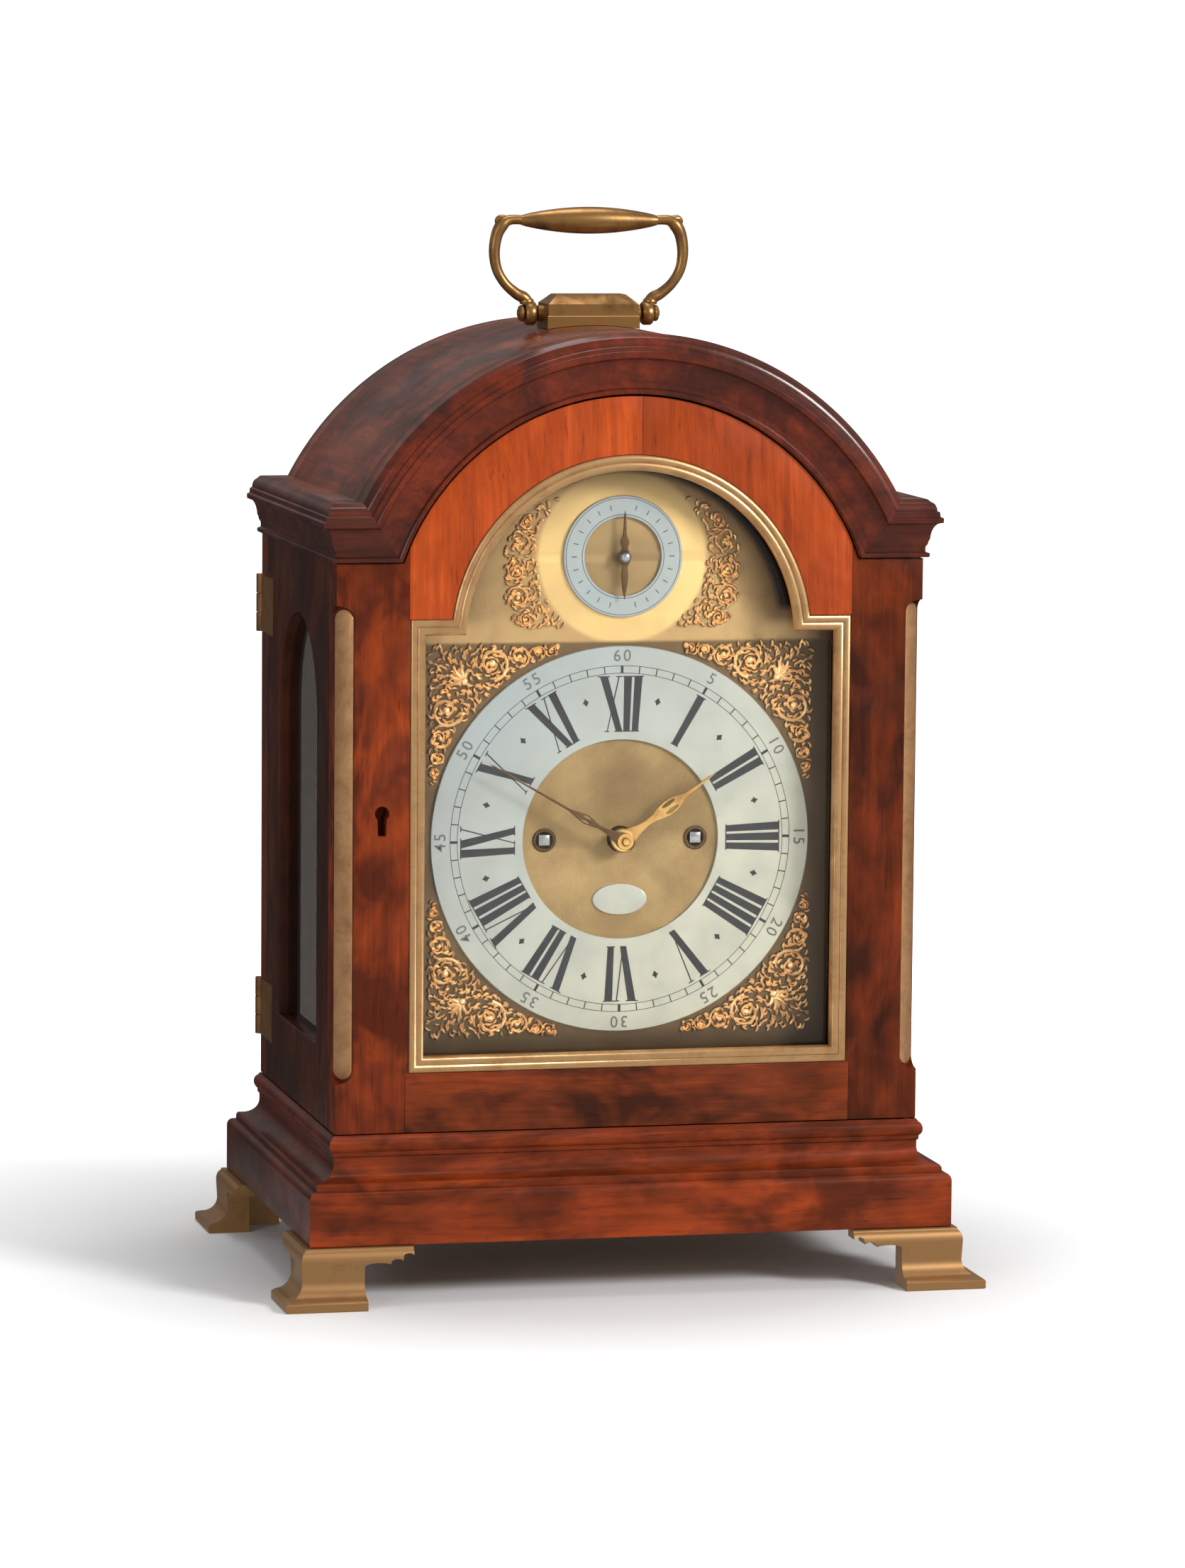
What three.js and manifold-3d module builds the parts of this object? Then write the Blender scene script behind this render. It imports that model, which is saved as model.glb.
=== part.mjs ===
// Bracket clock with a break-arch front, glazed doors front and rear, and a spring-driven
// fusee movement. Millimetres. Origin on the floor under the middle of the clock:
// +X to the viewer's right, +Y to the back, +Z up, dial facing -Y.
import * as THREE from 'three';
import { mergeVertices } from 'three/addons/utils/BufferGeometryUtils.js';
import Module from 'manifold-3d';

const wasm = await Module();
wasm.setup();

// ---------- driving dimensions: dial ----------
const dialHalfWidth = 89;
const dialShoulderRise = 1.5;       // shoulders of the plate above the square of the dial
const dialArchRadius = 72.5;
const dialArchDrop = 6.5;           // centre of the dial's arch below its shoulders
const dialPlateThickness = 2;
const dialFootRadius = 2.5;
const ringRecess = 17.9;            // chapter ring face behind the front of the case
const ringThickness = 1.6;
const ringMargin = 9.2;             // chapter ring from the edges of the dial plate
const chapterInner = 41.2;
const silentOuter = 25;             // strike/silent ring in the arch
const silentInner = 16.2;
const ringsApart = 11.7;            // between the two rings
const windingHoleRadius = 3.6;
const plaqueHalfWidth = 11.4;
const plaqueHalfHeight = 6.4;
const plaqueThickness = 0.75;
const plaqueDrop = 25;              // middle of the plaque below the dial centre
const maskThickness = 6;
const maskGap = 0.4;                // round the dial plate

// ---------- driving dimensions: spandrels ----------
const spandrelThickness = 1.4;
const spandrelMargin = 8;           // corner spandrels from the edge of the plate
const spandrelGap = 0.8;            // corner spandrels from the chapter ring
const spandrelTip = 22;             // thin ends of a corner spandrel from the dial's centre line
const lobeDepth = 1.1;
const crescentGap = 10;             // arch spandrels from the strike/silent ring
const crescentWidth = 17;
const crescentHalfSpan = 50.7;      // outer edge from the centre line
const crescentBase = 30.5;          // lower edge below the centre of the ring

// ---------- driving dimensions: hands ----------
const minuteLength = 66;
const hourLength = 47;
const silentHandLength = 19;
const handThickness = 1;
const minuteAngle = 300;            // clockwise from twelve, as in the photographed time
const hourAngle = 55;
const minuteStandOff = 8.6;         // hands in front of the rings
const hourStandOff = 5;
const silentStandOff = 3.4;
const minuteHubRadius = 3.6;
const hourHubRadius = 5;
const silentHubRadius = 3;
const hourPipeRadius = 4.2;
const hourPipeWall = 1.6;

// ---------- driving dimensions: case ----------
const caseDepth = 167;
const plinthProjection = 12.5;      // plinth beyond the case on every side
const footHeight = 24.5;
const plinthBlockHeight = 19;
const plinthMouldingHeight = 24.5;  // from the top of the block to the top of the bead
const mouldingWidth = 24;           // shoulder and arch moulding, from inner to outer edge
const mouldingProjection = 6.5;
const ovoloRadius = 3.8;            // outer member of that moulding
const coveRadius = 7.4;             // hollow below its fillet
const beadWidth = 2.2;              // inner member
const archCentreDrop = 34;          // centre of the case's arch below the shoulder moulding
const sideThickness = 12;
const roofThickness = 10;
const baseBoardThickness = 8;
const baseBoardRise = 4;            // above the lower edge of the plinth
const plinthWall = 27;              // plinth frame, from its outer face inwards
const footFlare = 11.8;             // toe beyond the plinth
const footWing = 42.5;              // bracket foot along the plinth, from the corner
const footLeg = 22;
const footWall = 5;
const footToe = 3.8;
const footFace = 3.6;               // flat of the foot beyond the plinth
const footLip = 2.1;                // upper edge of the foot beyond the plinth
const fit = 0.3;                    // gap between pieces that are cut to each other
const seat = 0.2;                   // gap between pieces that rest on each other

// ---------- driving dimensions: doors and side windows ----------
const doorThickness = 16;
const doorArchGap = 1;              // under the arch moulding
const doorEdgeGap = 0.5;            // above the plinth and under the shoulders
const apertureGap = 3;              // sight opening beyond the sides and foot of the dial
const apertureShoulderGap = 2.5;
const apertureArchGap = 2.7;
const bottomRail = 25;              // plinth to the sill of the aperture
const stileWidth = 30.5;
const shoulderRail = 23.5;          // shoulder of the aperture to the shoulder moulding
const archRail = 24.9;              // arch of the aperture to the arch moulding
const sightWidth = 6.5;             // brass sight frame, across its section
const sightDepth = 3.5;
const sightProud = 0.8;
const sightLap = 1.5;               // frame beyond the wood behind it
const glassThickness = 2;
const glassLap = 3;                 // glass behind the wood on each side
const cantLeg = 7.5;                // canted corner of the front door
const cantAbovePlinth = 21;
const cantBelowShoulder = 17.5;
const stripWidth = 9;
const stripThickness = 1.5;
const stripProud = 0.3;
const stripMargin = 1.5;            // strip from the ends of the cant
const hingeInset = 3;               // pin axis of the front door from its two faces
const hingePinRadius = 2;
const hingePinLength = 8;
const hingePinRoot = 4;             // pin beyond its plate, into the case
const hingePlateThickness = 1.6;
const hingePlateLength = 16;
const hingePlateWidth = 9;
const rearDoorThickness = 14;
const rearDoorGap = 0.8;
const rearStileWidth = 38.5;
const rearBottomRail = 34;
const rearGlassInset = 6;           // glass from the outer face of the rear door
const windowWidth = 84;
const windowRail = 31.5;            // side windows above the plinth
const windowHead = 27.5;            // and below the shoulder moulding
const windowSplay = 1.5;
const windowGlassInset = 4;

// ---------- driving dimensions: butt hinges of the rear door ----------
const buttHeight = 24.5;
const buttLeaf = 26;
const buttLeafThickness = 1;
const knuckleRadius = 2.3;
const buttPinRadius = 1;
const buttBelowShoulder = 30.5;
const buttAbovePlinth = 29;

// ---------- driving dimensions: lock and catch ----------
const keyholeInset = 19;            // keyhole from the left side of the case
const keyholeRise = 11.5;           // above the dial centre
const keyholeRadius = 3;
const keyholeSlot = 3.4;
const lockWidth = 16;
const lockHeight = 34;
const lockPocket = 3;
const lockDepth = 10;
const lockStandOff = 1.2;           // lock from the side of the case
const boltHeight = 12;
const boltThickness = 3;
const boltTravel = 5.5;
const boltLength = 13;
const catchLength = 15;
const catchRadius = 4;
const catchStandOff = 12;           // catch spindle from the inner face of the side
const catchArm = 2;
const catchStemRadius = 1.2;
const catchSetback = 6;             // arm behind the inner face of the rear door

// ---------- driving dimensions: handle ----------
const handleAxisRise = 4.8;         // above the crown of the roof
const handleEyeX = 25;              // middle of each eye from the centre line
const handleEyeRadius = 5;
const handleEyeWidth = 4.6;
const handleArmRadius = 2.4;
const handleOuterX = 40.3;          // centre line of the arms at their widest
const handleGripHeight = 38.6;      // grip above the axis
const gripHalfLength = 29;
const gripRadius = 5.8;
const gripNeckRadius = 2.1;
const padWidth = 38.4;
const padDepth = 20;
const padHeight = 8;                // top of the pad above the handle axis
const padChamfer = 4.5;
const padChamferDrop = 3.6;
const pivotRadius = 2;
const pivotKnobRadius = 3.4;
const pivotKnobLength = 3;

// ---------- driving dimensions: movement ----------
const plateWidth = 136;
const plateThickness = 2.5;
const motionWorkDepth = 17.5;       // from the dial plate to the front plate
const pillarLength = 48;
const pillarRadius = 4;
const pillarInset = 8;              // pillars from the edges of the plates
const arborRadius = 1.5;
const pivotGap = 0.5;
const pivotShort = 0.3;             // ends of the arbors inside the plates' outer faces
const greatWheelRadius = 27.6;
const greatWheelThickness = 2.4;
const greatPinionRadius = 4;
const fuseeLarge = 19;
const fuseeSmall = 9;
const squareSide = 4.4;
const barrelRadius = 24;
const barrelLength = 34;
const barrelX = 34;
const barrelDrop = 3.4;             // barrels below the great wheels
const barrelMargin = 8;             // and above the lower edge of the plates
const centreWheelRadius = 17;
const hourWheelRadius = 14;
const escapeRadius = 13;
const escapeRise = 41;              // above the dial centre
const anchorSpan = 23;              // verge arbor above the escape wheel
const plateAboveVerge = 13;
const pendulumLength = 162;
const bobRadius = 15;
const bobHalfThickness = 4.5;
const pendulumSetback = 12;         // pendulum rod behind the back plate
const bellRadius = 32;
const bellHeight = 26;
const bellWall = 1.8;
const bellRise = 26;                // mouth above the plates
const leverThickness = 2;           // strike/silent lever behind the dial
const leverGap = 1.4;
const bellGap = 1.6;                // bell behind that lever
const hammerReach = 12;             // hammer's arbor from the rim of the bell
const hammerDrop = 18;              // and below the top of the plates
const hammerHeadRadius = 4;
const hammerHeadGap = 3.8;          // head at rest from the rim of the bell
const hammerHeadLength = 13.2;
const hammerStemWidth = 2.4;
const standThickness = 4;           // steel strip of the bell stand
const standWidth = 7.5;
const standOffset = 22.5;           // its post from the centre line
const standLap = 22;                // post on the back plate
const standRise = 3;                // arm above the crown of the bell
const bellScrewRadius = 1.8;
const seatboardThickness = 12;
const seatboardOverhang = 6;
const seatRailWidth = 10;

// ---------- derived planes ----------
const chapterOuter = dialHalfWidth - ringMargin;
const apertureHalfWidth = dialHalfWidth + apertureGap;
const apertureArchRadius = dialArchRadius + apertureArchGap;
const halfWidth = apertureHalfWidth + stileWidth;
const halfDepth = caseDepth / 2;
const frontY = -halfDepth;
const rearY = halfDepth;
const plinthHalfX = halfWidth + plinthProjection;
const plinthHalfY = halfDepth + plinthProjection;
const plinthBlockTop = footHeight + plinthBlockHeight;
const plinthTop = plinthBlockTop + plinthMouldingHeight;
const apertureSill = plinthTop + bottomRail;
const dialCentre = apertureSill + apertureGap + dialHalfWidth;
const dialShoulder = dialCentre + dialHalfWidth + dialShoulderRise;
const silentHeight = dialCentre + chapterOuter + ringsApart + silentOuter;
const apertureShoulder = dialShoulder + apertureShoulderGap;
const apertureArchCentre = dialShoulder - dialArchDrop;
const shoulderUnderside = apertureShoulder + shoulderRail;
const shoulderTop = shoulderUnderside + mouldingWidth;
const archCentreHeight = shoulderUnderside - archCentreDrop;
const archInner = apertureArchCentre + apertureArchRadius + archRail - archCentreHeight;
const archOuter = archInner + mouldingWidth + 0.7;
const roofOuter = archOuter - 0.6;
const roofInner = roofOuter - roofThickness;
const doorArch = archInner - doorArchGap;
const doorBottom = plinthTop + doorEdgeGap;
const doorTop = shoulderUnderside - doorEdgeGap;
const doorBackY = frontY + doorThickness;
const sideFrontY = doorBackY + 0.6;
const rearDoorY = rearY - rearDoorThickness;
const sideRearY = rearDoorY - 0.4;
const sideInnerX = halfWidth - sideThickness;
const windowSill = plinthTop + windowRail;
const windowTop = shoulderUnderside - windowHead;
const cantBottom = plinthTop + cantAbovePlinth;
const cantTop = shoulderUnderside - cantBelowShoulder;
const rearApertureHalfWidth = halfWidth - rearStileWidth;
const rearApertureSill = plinthTop + rearBottomRail;
const buttUpper = shoulderUnderside - buttBelowShoulder;
const buttLower = plinthTop + buttAbovePlinth;
const keyholeX = keyholeInset - halfWidth;
const keyholeHeight = dialCentre + keyholeRise;
const catchHeight = dialCentre;
const handleAxisHeight = archCentreHeight + roofOuter + handleAxisRise;
const handleY = 0;
const ringFaceY = frontY + ringRecess;
const dialFaceY = ringFaceY + ringThickness;
const dialBackY = dialFaceY + dialPlateThickness;
const ringSeatY = dialFaceY - 0.05; // what is pinned to the dial plate ends here
const frontPlateY = dialBackY + motionWorkDepth;
const pillarFrontY = frontPlateY + plateThickness;
const backPlateY = pillarFrontY + pillarLength;
const backPlateBackY = backPlateY + plateThickness;
const glassFrontY = frontY + sightDepth + sightLap;
const windingX = greatWheelRadius + greatPinionRadius + fit;
const barrelHeight = dialCentre - greatWheelRadius - barrelDrop - barrelRadius;
const plateBottom = barrelHeight - barrelRadius - barrelMargin;
const escapeHeight = dialCentre + escapeRise;
const vergeHeight = escapeHeight + anchorSpan;
const plateTop = vergeHeight + plateAboveVerge;
const bellMouth = plateTop + bellRise;
const leverBackY = dialBackY + leverGap + leverThickness;
const bellY = leverBackY + bellGap + bellRadius;
const hammerX = bellRadius + hammerReach;
const hammerHeight = plateTop - hammerDrop;

// ---------- colours ----------
const finish = (color, roughness, metalness, more = {}) =>
  new THREE.MeshStandardMaterial({ color, roughness, metalness, ...more });
const mahogany = finish(0x7a3116, 0.35, 0);
const mahoganyBright = finish(0xa8451a, 0.32, 0);
const mahoganyDark = finish(0x4a2318, 0.4, 0);
const oak = finish(0x7a5a38, 0.7, 0);
const castBrass = finish(0xa57c48, 0.42, 0.9);
const giltBrass = finish(0xd09a5c, 0.38, 0.9);
const dialBrass = finish(0xb8955a, 0.45, 0.85);
const movementBrass = finish(0xc0a060, 0.35, 0.9);
const silvered = finish(0xc6c8ba, 0.5, 0.4);
const steel = finish(0x5c6068, 0.4, 0.9);
const bellMetal = finish(0xb9a878, 0.3, 0.95);
const glass = finish(0xdfe8e4, 0.05, 0, { transparent: true, opacity: 0.25 });

// ---------- solids ----------
function toSolid(geometry) {
  const bare = geometry.clone();
  bare.deleteAttribute('normal');
  bare.deleteAttribute('uv');
  const merged = mergeVertices(bare, 1e-4);
  const triVerts = new Uint32Array(merged.index.array);
  return new wasm.Manifold(new wasm.Mesh({
    numProp: 3, vertProperties: new Float32Array(merged.attributes.position.array), triVerts,
  }));
}

function toGeometry(solid) {
  const mesh = solid.getMesh();
  const geometry = new THREE.BufferGeometry();
  geometry.setAttribute('position', new THREE.BufferAttribute(new Float32Array(mesh.vertProperties), 3));
  geometry.setIndex(new THREE.BufferAttribute(new Uint32Array(mesh.triVerts), 1));
  geometry.computeVertexNormals();
  return geometry;
}

const joined = (...solids) => solids.reduce((sum, solid) => sum.add(solid));
const cut = (solid, ...tools) => tools.reduce((rest, tool) => rest.subtract(tool), solid);

// An outline in (x, z) drawn through the clock from its front plane to its back plane.
function acrossY(shape, front, back, segments = 12) {
  const geometry = new THREE.ExtrudeGeometry(shape,
    { depth: back - front, bevelEnabled: false, curveSegments: segments });
  geometry.rotateX(Math.PI / 2);
  geometry.translate(0, back, 0);
  return toSolid(geometry);
}

// An outline in (y, z) drawn from left to right.
function acrossX(shape, left, right, segments = 12) {
  const geometry = new THREE.ExtrudeGeometry(shape,
    { depth: right - left, bevelEnabled: false, curveSegments: segments });
  geometry.applyMatrix4(new THREE.Matrix4().set(0, 0, 1, left, 1, 0, 0, 0, 0, 1, 0, 0, 0, 0, 0, 1));
  return toSolid(geometry);
}

// A block between two corners.
function block(x0, x1, y0, y1, z0, z1) {
  const geometry = new THREE.BoxGeometry(x1 - x0, y1 - y0, z1 - z0);
  geometry.translate((x0 + x1) / 2, (y0 + y1) / 2, (z0 + z1) / 2);
  return toSolid(geometry);
}

// A turned piece. The profile gives [radius, distance along the axis].
function turned(profile, axis, x, y, z, segments = 20) {
  const geometry = new THREE.LatheGeometry(profile.map(([r, h]) => new THREE.Vector2(r, h)), segments);
  if (axis === 'z') geometry.rotateX(Math.PI / 2);
  if (axis === 'x') geometry.rotateZ(-Math.PI / 2);
  geometry.translate(x, y, z);
  const solid = toSolid(geometry);
  return solid.volume() > 0 ? solid : toSolid(flipped(geometry));
}

function flipped(geometry) {
  const index = geometry.index.array;
  for (let i = 0; i < index.length; i += 3) [index[i], index[i + 1]] = [index[i + 1], index[i]];
  return geometry;
}

// A round rod along an axis between two distances on it.
function rod(radius, axis, from, to, a, b, segments = 8) {
  const profile = [[0, from], [radius, from], [radius, to], [0, to]];
  if (axis === 'y') return turned(profile, 'y', a, 0, b, segments);
  if (axis === 'x') return turned(profile, 'x', 0, a, b, segments);
  return turned(profile, 'z', a, b, 0, segments);
}

// A moulding swept round a rectangle with mitred corners. The profile gives [offset from
// the rectangle, height] and closes on itself.
function mitredFrame(profile, halfX, halfY) {
  const corners = [[-1, -1], [1, -1], [1, 1], [-1, 1]];
  const positions = [];
  const index = [];
  const count = profile.length;
  for (const [sx, sy] of corners) {
    for (const [offset, z] of profile) positions.push(sx * (halfX + offset), sy * (halfY + offset), z);
  }
  for (let c = 0; c < 4; c += 1) {
    for (let i = 0; i < count; i += 1) {
      const next = (i + 1) % count;
      const here = c * count;
      const there = ((c + 1) % 4) * count;
      index.push(here + i, there + i, there + next, here + i, there + next, here + next);
    }
  }
  const geometry = new THREE.BufferGeometry();
  geometry.setAttribute('position', new THREE.Float32BufferAttribute(positions, 3));
  geometry.setIndex(index);
  const solid = toSolid(geometry);
  return solid.volume() > 0 ? solid : toSolid(flipped(geometry));
}

// Points on an arc, in degrees, both ends included.
function arcPoints(cx, cy, rx, ry, from, to, steps) {
  const points = [];
  for (let i = 0; i <= steps; i += 1) {
    const a = THREE.MathUtils.degToRad(from + (to - from) * i / steps);
    points.push([cx + rx * Math.cos(a), cy + ry * Math.sin(a)]);
  }
  return points;
}

const shapeOf = (points) => new THREE.Shape(points.map(([x, y]) => new THREE.Vector2(x, y)));
const circleShape = (x, y, radius) => shapeOf(arcPoints(x, y, radius, radius, 0, 315, 7));

// A rectangle with an arch rising from its middle: half width, sill, shoulder, arch centre
// and arch radius. Used for the door, its aperture, the dial plate and the mask.
function breakArch(half, sill, shoulder, centre, radius, steps = 18) {
  const spring = THREE.MathUtils.radToDeg(Math.asin((shoulder - centre) / radius));
  return shapeOf([[-half, sill], [half, sill], [half, shoulder],
    ...arcPoints(0, centre, radius, radius, spring, 180 - spring, steps), [-half, shoulder]]);
}

const aperture = (inset) => breakArch(apertureHalfWidth - inset, apertureSill + inset,
  apertureShoulder - inset, apertureArchCentre, apertureArchRadius - inset);

// ---------- plinth, base board and feet ----------
function plinth() {
  const blockTop = plinthBlockTop;
  const edge = plinthProjection;
  const neck = plinthTop - 9;
  const flare = neck - 2.5;
  const profile = [
    [edge - plinthWall, footHeight], [edge, footHeight], [edge, blockTop],
    ...arcPoints(edge - 2.6, blockTop, 2.6, 3.2, 15, 90, 3),
    [edge - 3.4, blockTop + 3.2], [edge - 3.4, blockTop + 5.4],
    ...arcPoints(edge - 4, flare, 8, flare - blockTop - 6.2, 270, 180, 6),
    [0.5, neck], [1.2, neck + 1], ...arcPoints(0.6, plinthTop - 4, 2, 3, -70, 75, 5),
    [0.4, plinthTop], [edge - plinthWall, plinthTop],
  ];
  const frame = mitredFrame(profile, halfWidth, halfDepth);
  return cut(frame, hingePlateBed(plinthTop - hingePlateThickness - seat, plinthTop + 1),
    rod(hingePinRadius + fit, 'z', plinthTop - 2 * hingePinRoot, plinthTop + 1, hingeX, hingeY));
}

function baseBoard() {
  const x = plinthHalfX - plinthWall - fit;
  const y = plinthHalfY - plinthWall - fit;
  const low = footHeight + baseBoardRise;
  return block(-x, x, -y, y, low, low + baseBoardThickness);
}

// The ogee bracket foot at one corner: a mitred ogee section, cut to a leg and two wings.
function foot(sx, sy) {
  const top = footHeight - seat;
  const hollow = { x: footFlare - 1.4, z: footToe + 7.6, height: 7 };
  const swell = { x: footLip - 0.6, z: top - 5.2, height: 4.6 };
  const profile = [
    [-footWall - 1, top], [-footWall - 1, 0], [footFlare, 0], [footFlare, footToe],
    ...arcPoints(hollow.x, hollow.z, hollow.x - footFace, hollow.height, 266, 180, 5),
    ...arcPoints(swell.x, swell.z, footFace + 0.4 - swell.x, swell.height, 0, 72, 4),
    [footLip, top - 0.5], [footLip, top],
  ];
  const section = mitredFrame(profile, plinthHalfX, plinthHalfY);
  const reach = footWing;
  const far = footFlare + 1;
  const corner = block(...ordered(sx * (plinthHalfX - reach), sx * (plinthHalfX + far)),
    ...ordered(sy * (plinthHalfY - reach), sy * (plinthHalfY + far)), -1, footHeight + 1);
  // scallops under the wing: [distance from the leg, below the top, half width, height]
  const scallops = [[5.8, 7.2, 5.2, 1.1], [13.6, 6, 2.5, 1.3], [18.4, 4, 2.3, 1.5]];
  const wing = (side, half) => shapeOf(
    [[half - footLeg, -1], [half - footLeg, top - 7.4],
      ...scallops.flatMap(([along, drop, width, height]) =>
        arcPoints(half - footLeg - along, top - drop, width, height, 15, 160, 3)),
      [half - reach - 1, top - 2], [half - reach - 1, -1]].map(([a, z]) => [side * a, z]),
  );
  const inner = footWall + 2;
  const underFront = acrossY(wing(sx, plinthHalfX),
    ...ordered(sy * (plinthHalfY - inner), sy * (plinthHalfY + far)));
  const underSide = acrossX(wing(sy, plinthHalfY),
    ...ordered(sx * (plinthHalfX - inner), sx * (plinthHalfX + far)));
  return cut(section.intersect(corner), underFront, underSide);
}

const ordered = (a, b) => (a < b ? [a, b] : [b, a]);

// ---------- sides and roof ----------
const windowShape = (extra) => {
  const radius = windowWidth / 2 + extra;
  const spring = windowTop - windowWidth / 2;
  return shapeOf([[-radius, windowSill - extra], [radius, windowSill - extra],
    ...arcPoints(0, spring, radius, radius, 0, 180, 16)]);
};

function side(sx) {
  const outer = halfWidth;
  const span = (a, b) => ordered(sx * a, sx * b);
  const bottom = plinthTop + seat;
  const panel = block(...span(sideInnerX, outer), sideFrontY, sideRearY, bottom,
    shoulderUnderside - seat);
  const rail = block(...span(sideInnerX - seatRailWidth, sideInnerX + 1), frontPlateY,
    backPlateBackY + seatboardOverhang, seatboardBottom - seatboardThickness,
    seatboardBottom - seat);
  const opening = acrossX(windowShape(0), ...span(sideInnerX - 1, outer + 1));
  const splay = acrossX(windowShape(windowSplay), ...span(outer - 1.2, outer + 1));
  const rebate = acrossX(windowShape(glassLap + fit), ...span(sideInnerX - 1, outer - windowGlassInset));
  let body = cut(joined(panel, rail), opening, splay, rebate);
  if (sx > 0) body = body.subtract(catchMortise());
  if (sx < 0) {
    body = cut(body, boltMortise());
    for (const z of [buttUpper, buttLower]) body = body.subtract(buttBed(z));
  }
  return body;
}

function sideGlass(sx) {
  const outer = halfWidth - windowGlassInset - seat;
  return acrossX(windowShape(glassLap), ...ordered(sx * (outer - glassThickness), sx * outer));
}

function roof() {
  const top = THREE.MathUtils.radToDeg(Math.asin((shoulderTop - archCentreHeight) / roofOuter));
  const outline = shapeOf([[-halfWidth, shoulderUnderside], [halfWidth, shoulderUnderside],
    [halfWidth, shoulderTop],
    ...arcPoints(0, archCentreHeight, roofOuter, roofOuter, top, 180 - top, 24),
    [-halfWidth, shoulderTop]]);
  const below = shoulderUnderside - 1;
  const vault = (radius) => shapeOf([
    ...arcPoints(0, archCentreHeight, radius, radius,
      THREE.MathUtils.radToDeg(Math.asin((below - archCentreHeight) / radius)),
      180 - THREE.MathUtils.radToDeg(Math.asin((below - archCentreHeight) / radius)), 18)]);
  const shell = acrossY(outline, frontY, rearY);
  const doorBay = acrossY(vault(doorArch + doorArchGap), frontY - 1, sideFrontY);
  const inside = acrossY(vault(roofInner), sideFrontY - 0.2, rearDoorY - 0.4);
  const rearBay = acrossY(vault(doorArch + doorArchGap), rearDoorY - 0.6, rearY + 1);
  return cut(shell, doorBay, inside, rearBay,
    hingePlateBed(shoulderUnderside - 1, shoulderUnderside + hingePlateThickness + seat),
    rod(hingePinRadius + fit, 'z', shoulderUnderside - 1, shoulderUnderside + hingePinRoot + 1,
      hingeX, hingeY));
}

// Section of the arch and shoulder mouldings: [distance in from the outer edge, projection].
function mouldingSection() {
  const tip = mouldingProjection;
  const width = mouldingWidth;
  const fillet = width - coveRadius - beadWidth - 6.8;
  const coveEnd = fillet + 2.2 + coveRadius;
  const flat = 0.5;
  return [
    [0, 0.6], ...arcPoints(ovoloRadius + 1.2, 1.9, ovoloRadius, tip - 4.1, 170, 90, 2),
    [fillet - 0.2, tip - 0.9], [fillet, tip], [fillet + 2, tip],
    ...arcPoints(coveEnd, tip - 0.8, coveRadius, tip - 2.8, 180, 264, 3),
    [coveEnd + 1.6, 1.2], [width - beadWidth - 1.6, flat], [width - beadWidth - 0.2, flat],
    [width - beadWidth, 1.9], [width, 1.7],
  ];
}

// The region of the front where the moulding follows the arch, bounded by the mitre, which
// is where the arch and the level moulding have the same section height.
function archRegion(inset, front, back) {
  const rise = archOuter - (shoulderTop - archCentreHeight);
  const mitre = (z) => Math.sqrt(Math.max(0, (z - archCentreHeight + rise) ** 2
    - (z - archCentreHeight) ** 2)) - inset;
  const low = shoulderUnderside - 8;
  const points = [];
  for (let i = 0; i <= 5; i += 1) {
    const z = low + (shoulderTop + 4 - low) * i / 5;
    points.push([mitre(z), z]);
  }
  const roofline = archCentreHeight + archOuter + 5;
  const left = points.map(([x, z]) => [-x, z]).reverse();
  return acrossY(shapeOf([...points, [halfWidth, roofline], [-halfWidth, roofline], ...left]),
    front, back);
}

function archMoulding() {
  const back = frontY - seat;
  const section = mouldingSection().map(([t, p]) => [archOuter - t * (archOuter - archInner)
    / mouldingWidth, frontY - p - 0.2]);
  const profile = [[archOuter, back], ...section, [archInner, back]];
  const ring = turned(profile.concat([profile[0]]), 'y', 0, 0, archCentreHeight, 44);
  const region = archRegion(0.1, frontY - mouldingProjection - 2, frontY + 1);
  const above = block(-halfWidth, halfWidth, frontY - 20, frontY + 20, shoulderUnderside,
    shoulderTop + 100);
  return ring.intersect(region).intersect(above);
}

function shoulderMoulding(sx) {
  const profile = [[seat, shoulderTop], ...mouldingSection().map(([t, p]) => [p + 0.2, shoulderTop - t]),
    [seat, shoulderUnderside]];
  const frame = mitredFrame(profile, halfWidth, halfDepth);
  const half = block(...ordered(0.5 * sx, sx * (halfWidth + 20)), frontY - 20, rearY,
    shoulderUnderside - 1, shoulderTop + 1);
  return cut(frame.intersect(half), archRegion(-0.1, frontY - 20, frontY + 2));
}

// ---------- front door ----------
const hingeX = halfWidth - hingeInset;
const hingeY = frontY + hingeInset;
const hingePlateLeft = hingeX - hingePlateLength + hingePinRadius;

function hingePlateBed(z0, z1) {
  return block(hingePlateLeft - seat, halfWidth + 1, frontY - seat,
    frontY + hingePlateWidth + seat, z0, z1);
}

function frontHinge(upper) {
  const face = upper ? shoulderUnderside : plinthTop;
  const out = upper ? 1 : -1;
  const plate = block(hingePlateLeft, halfWidth, frontY, frontY + hingePlateWidth,
    ...ordered(face, face + out * hingePlateThickness));
  const pin = rod(hingePinRadius, 'z',
    ...ordered(face + out * hingePinRoot, face - out * (doorEdgeGap + hingePinLength)), hingeX, hingeY);
  return joined(plate, pin);
}

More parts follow.
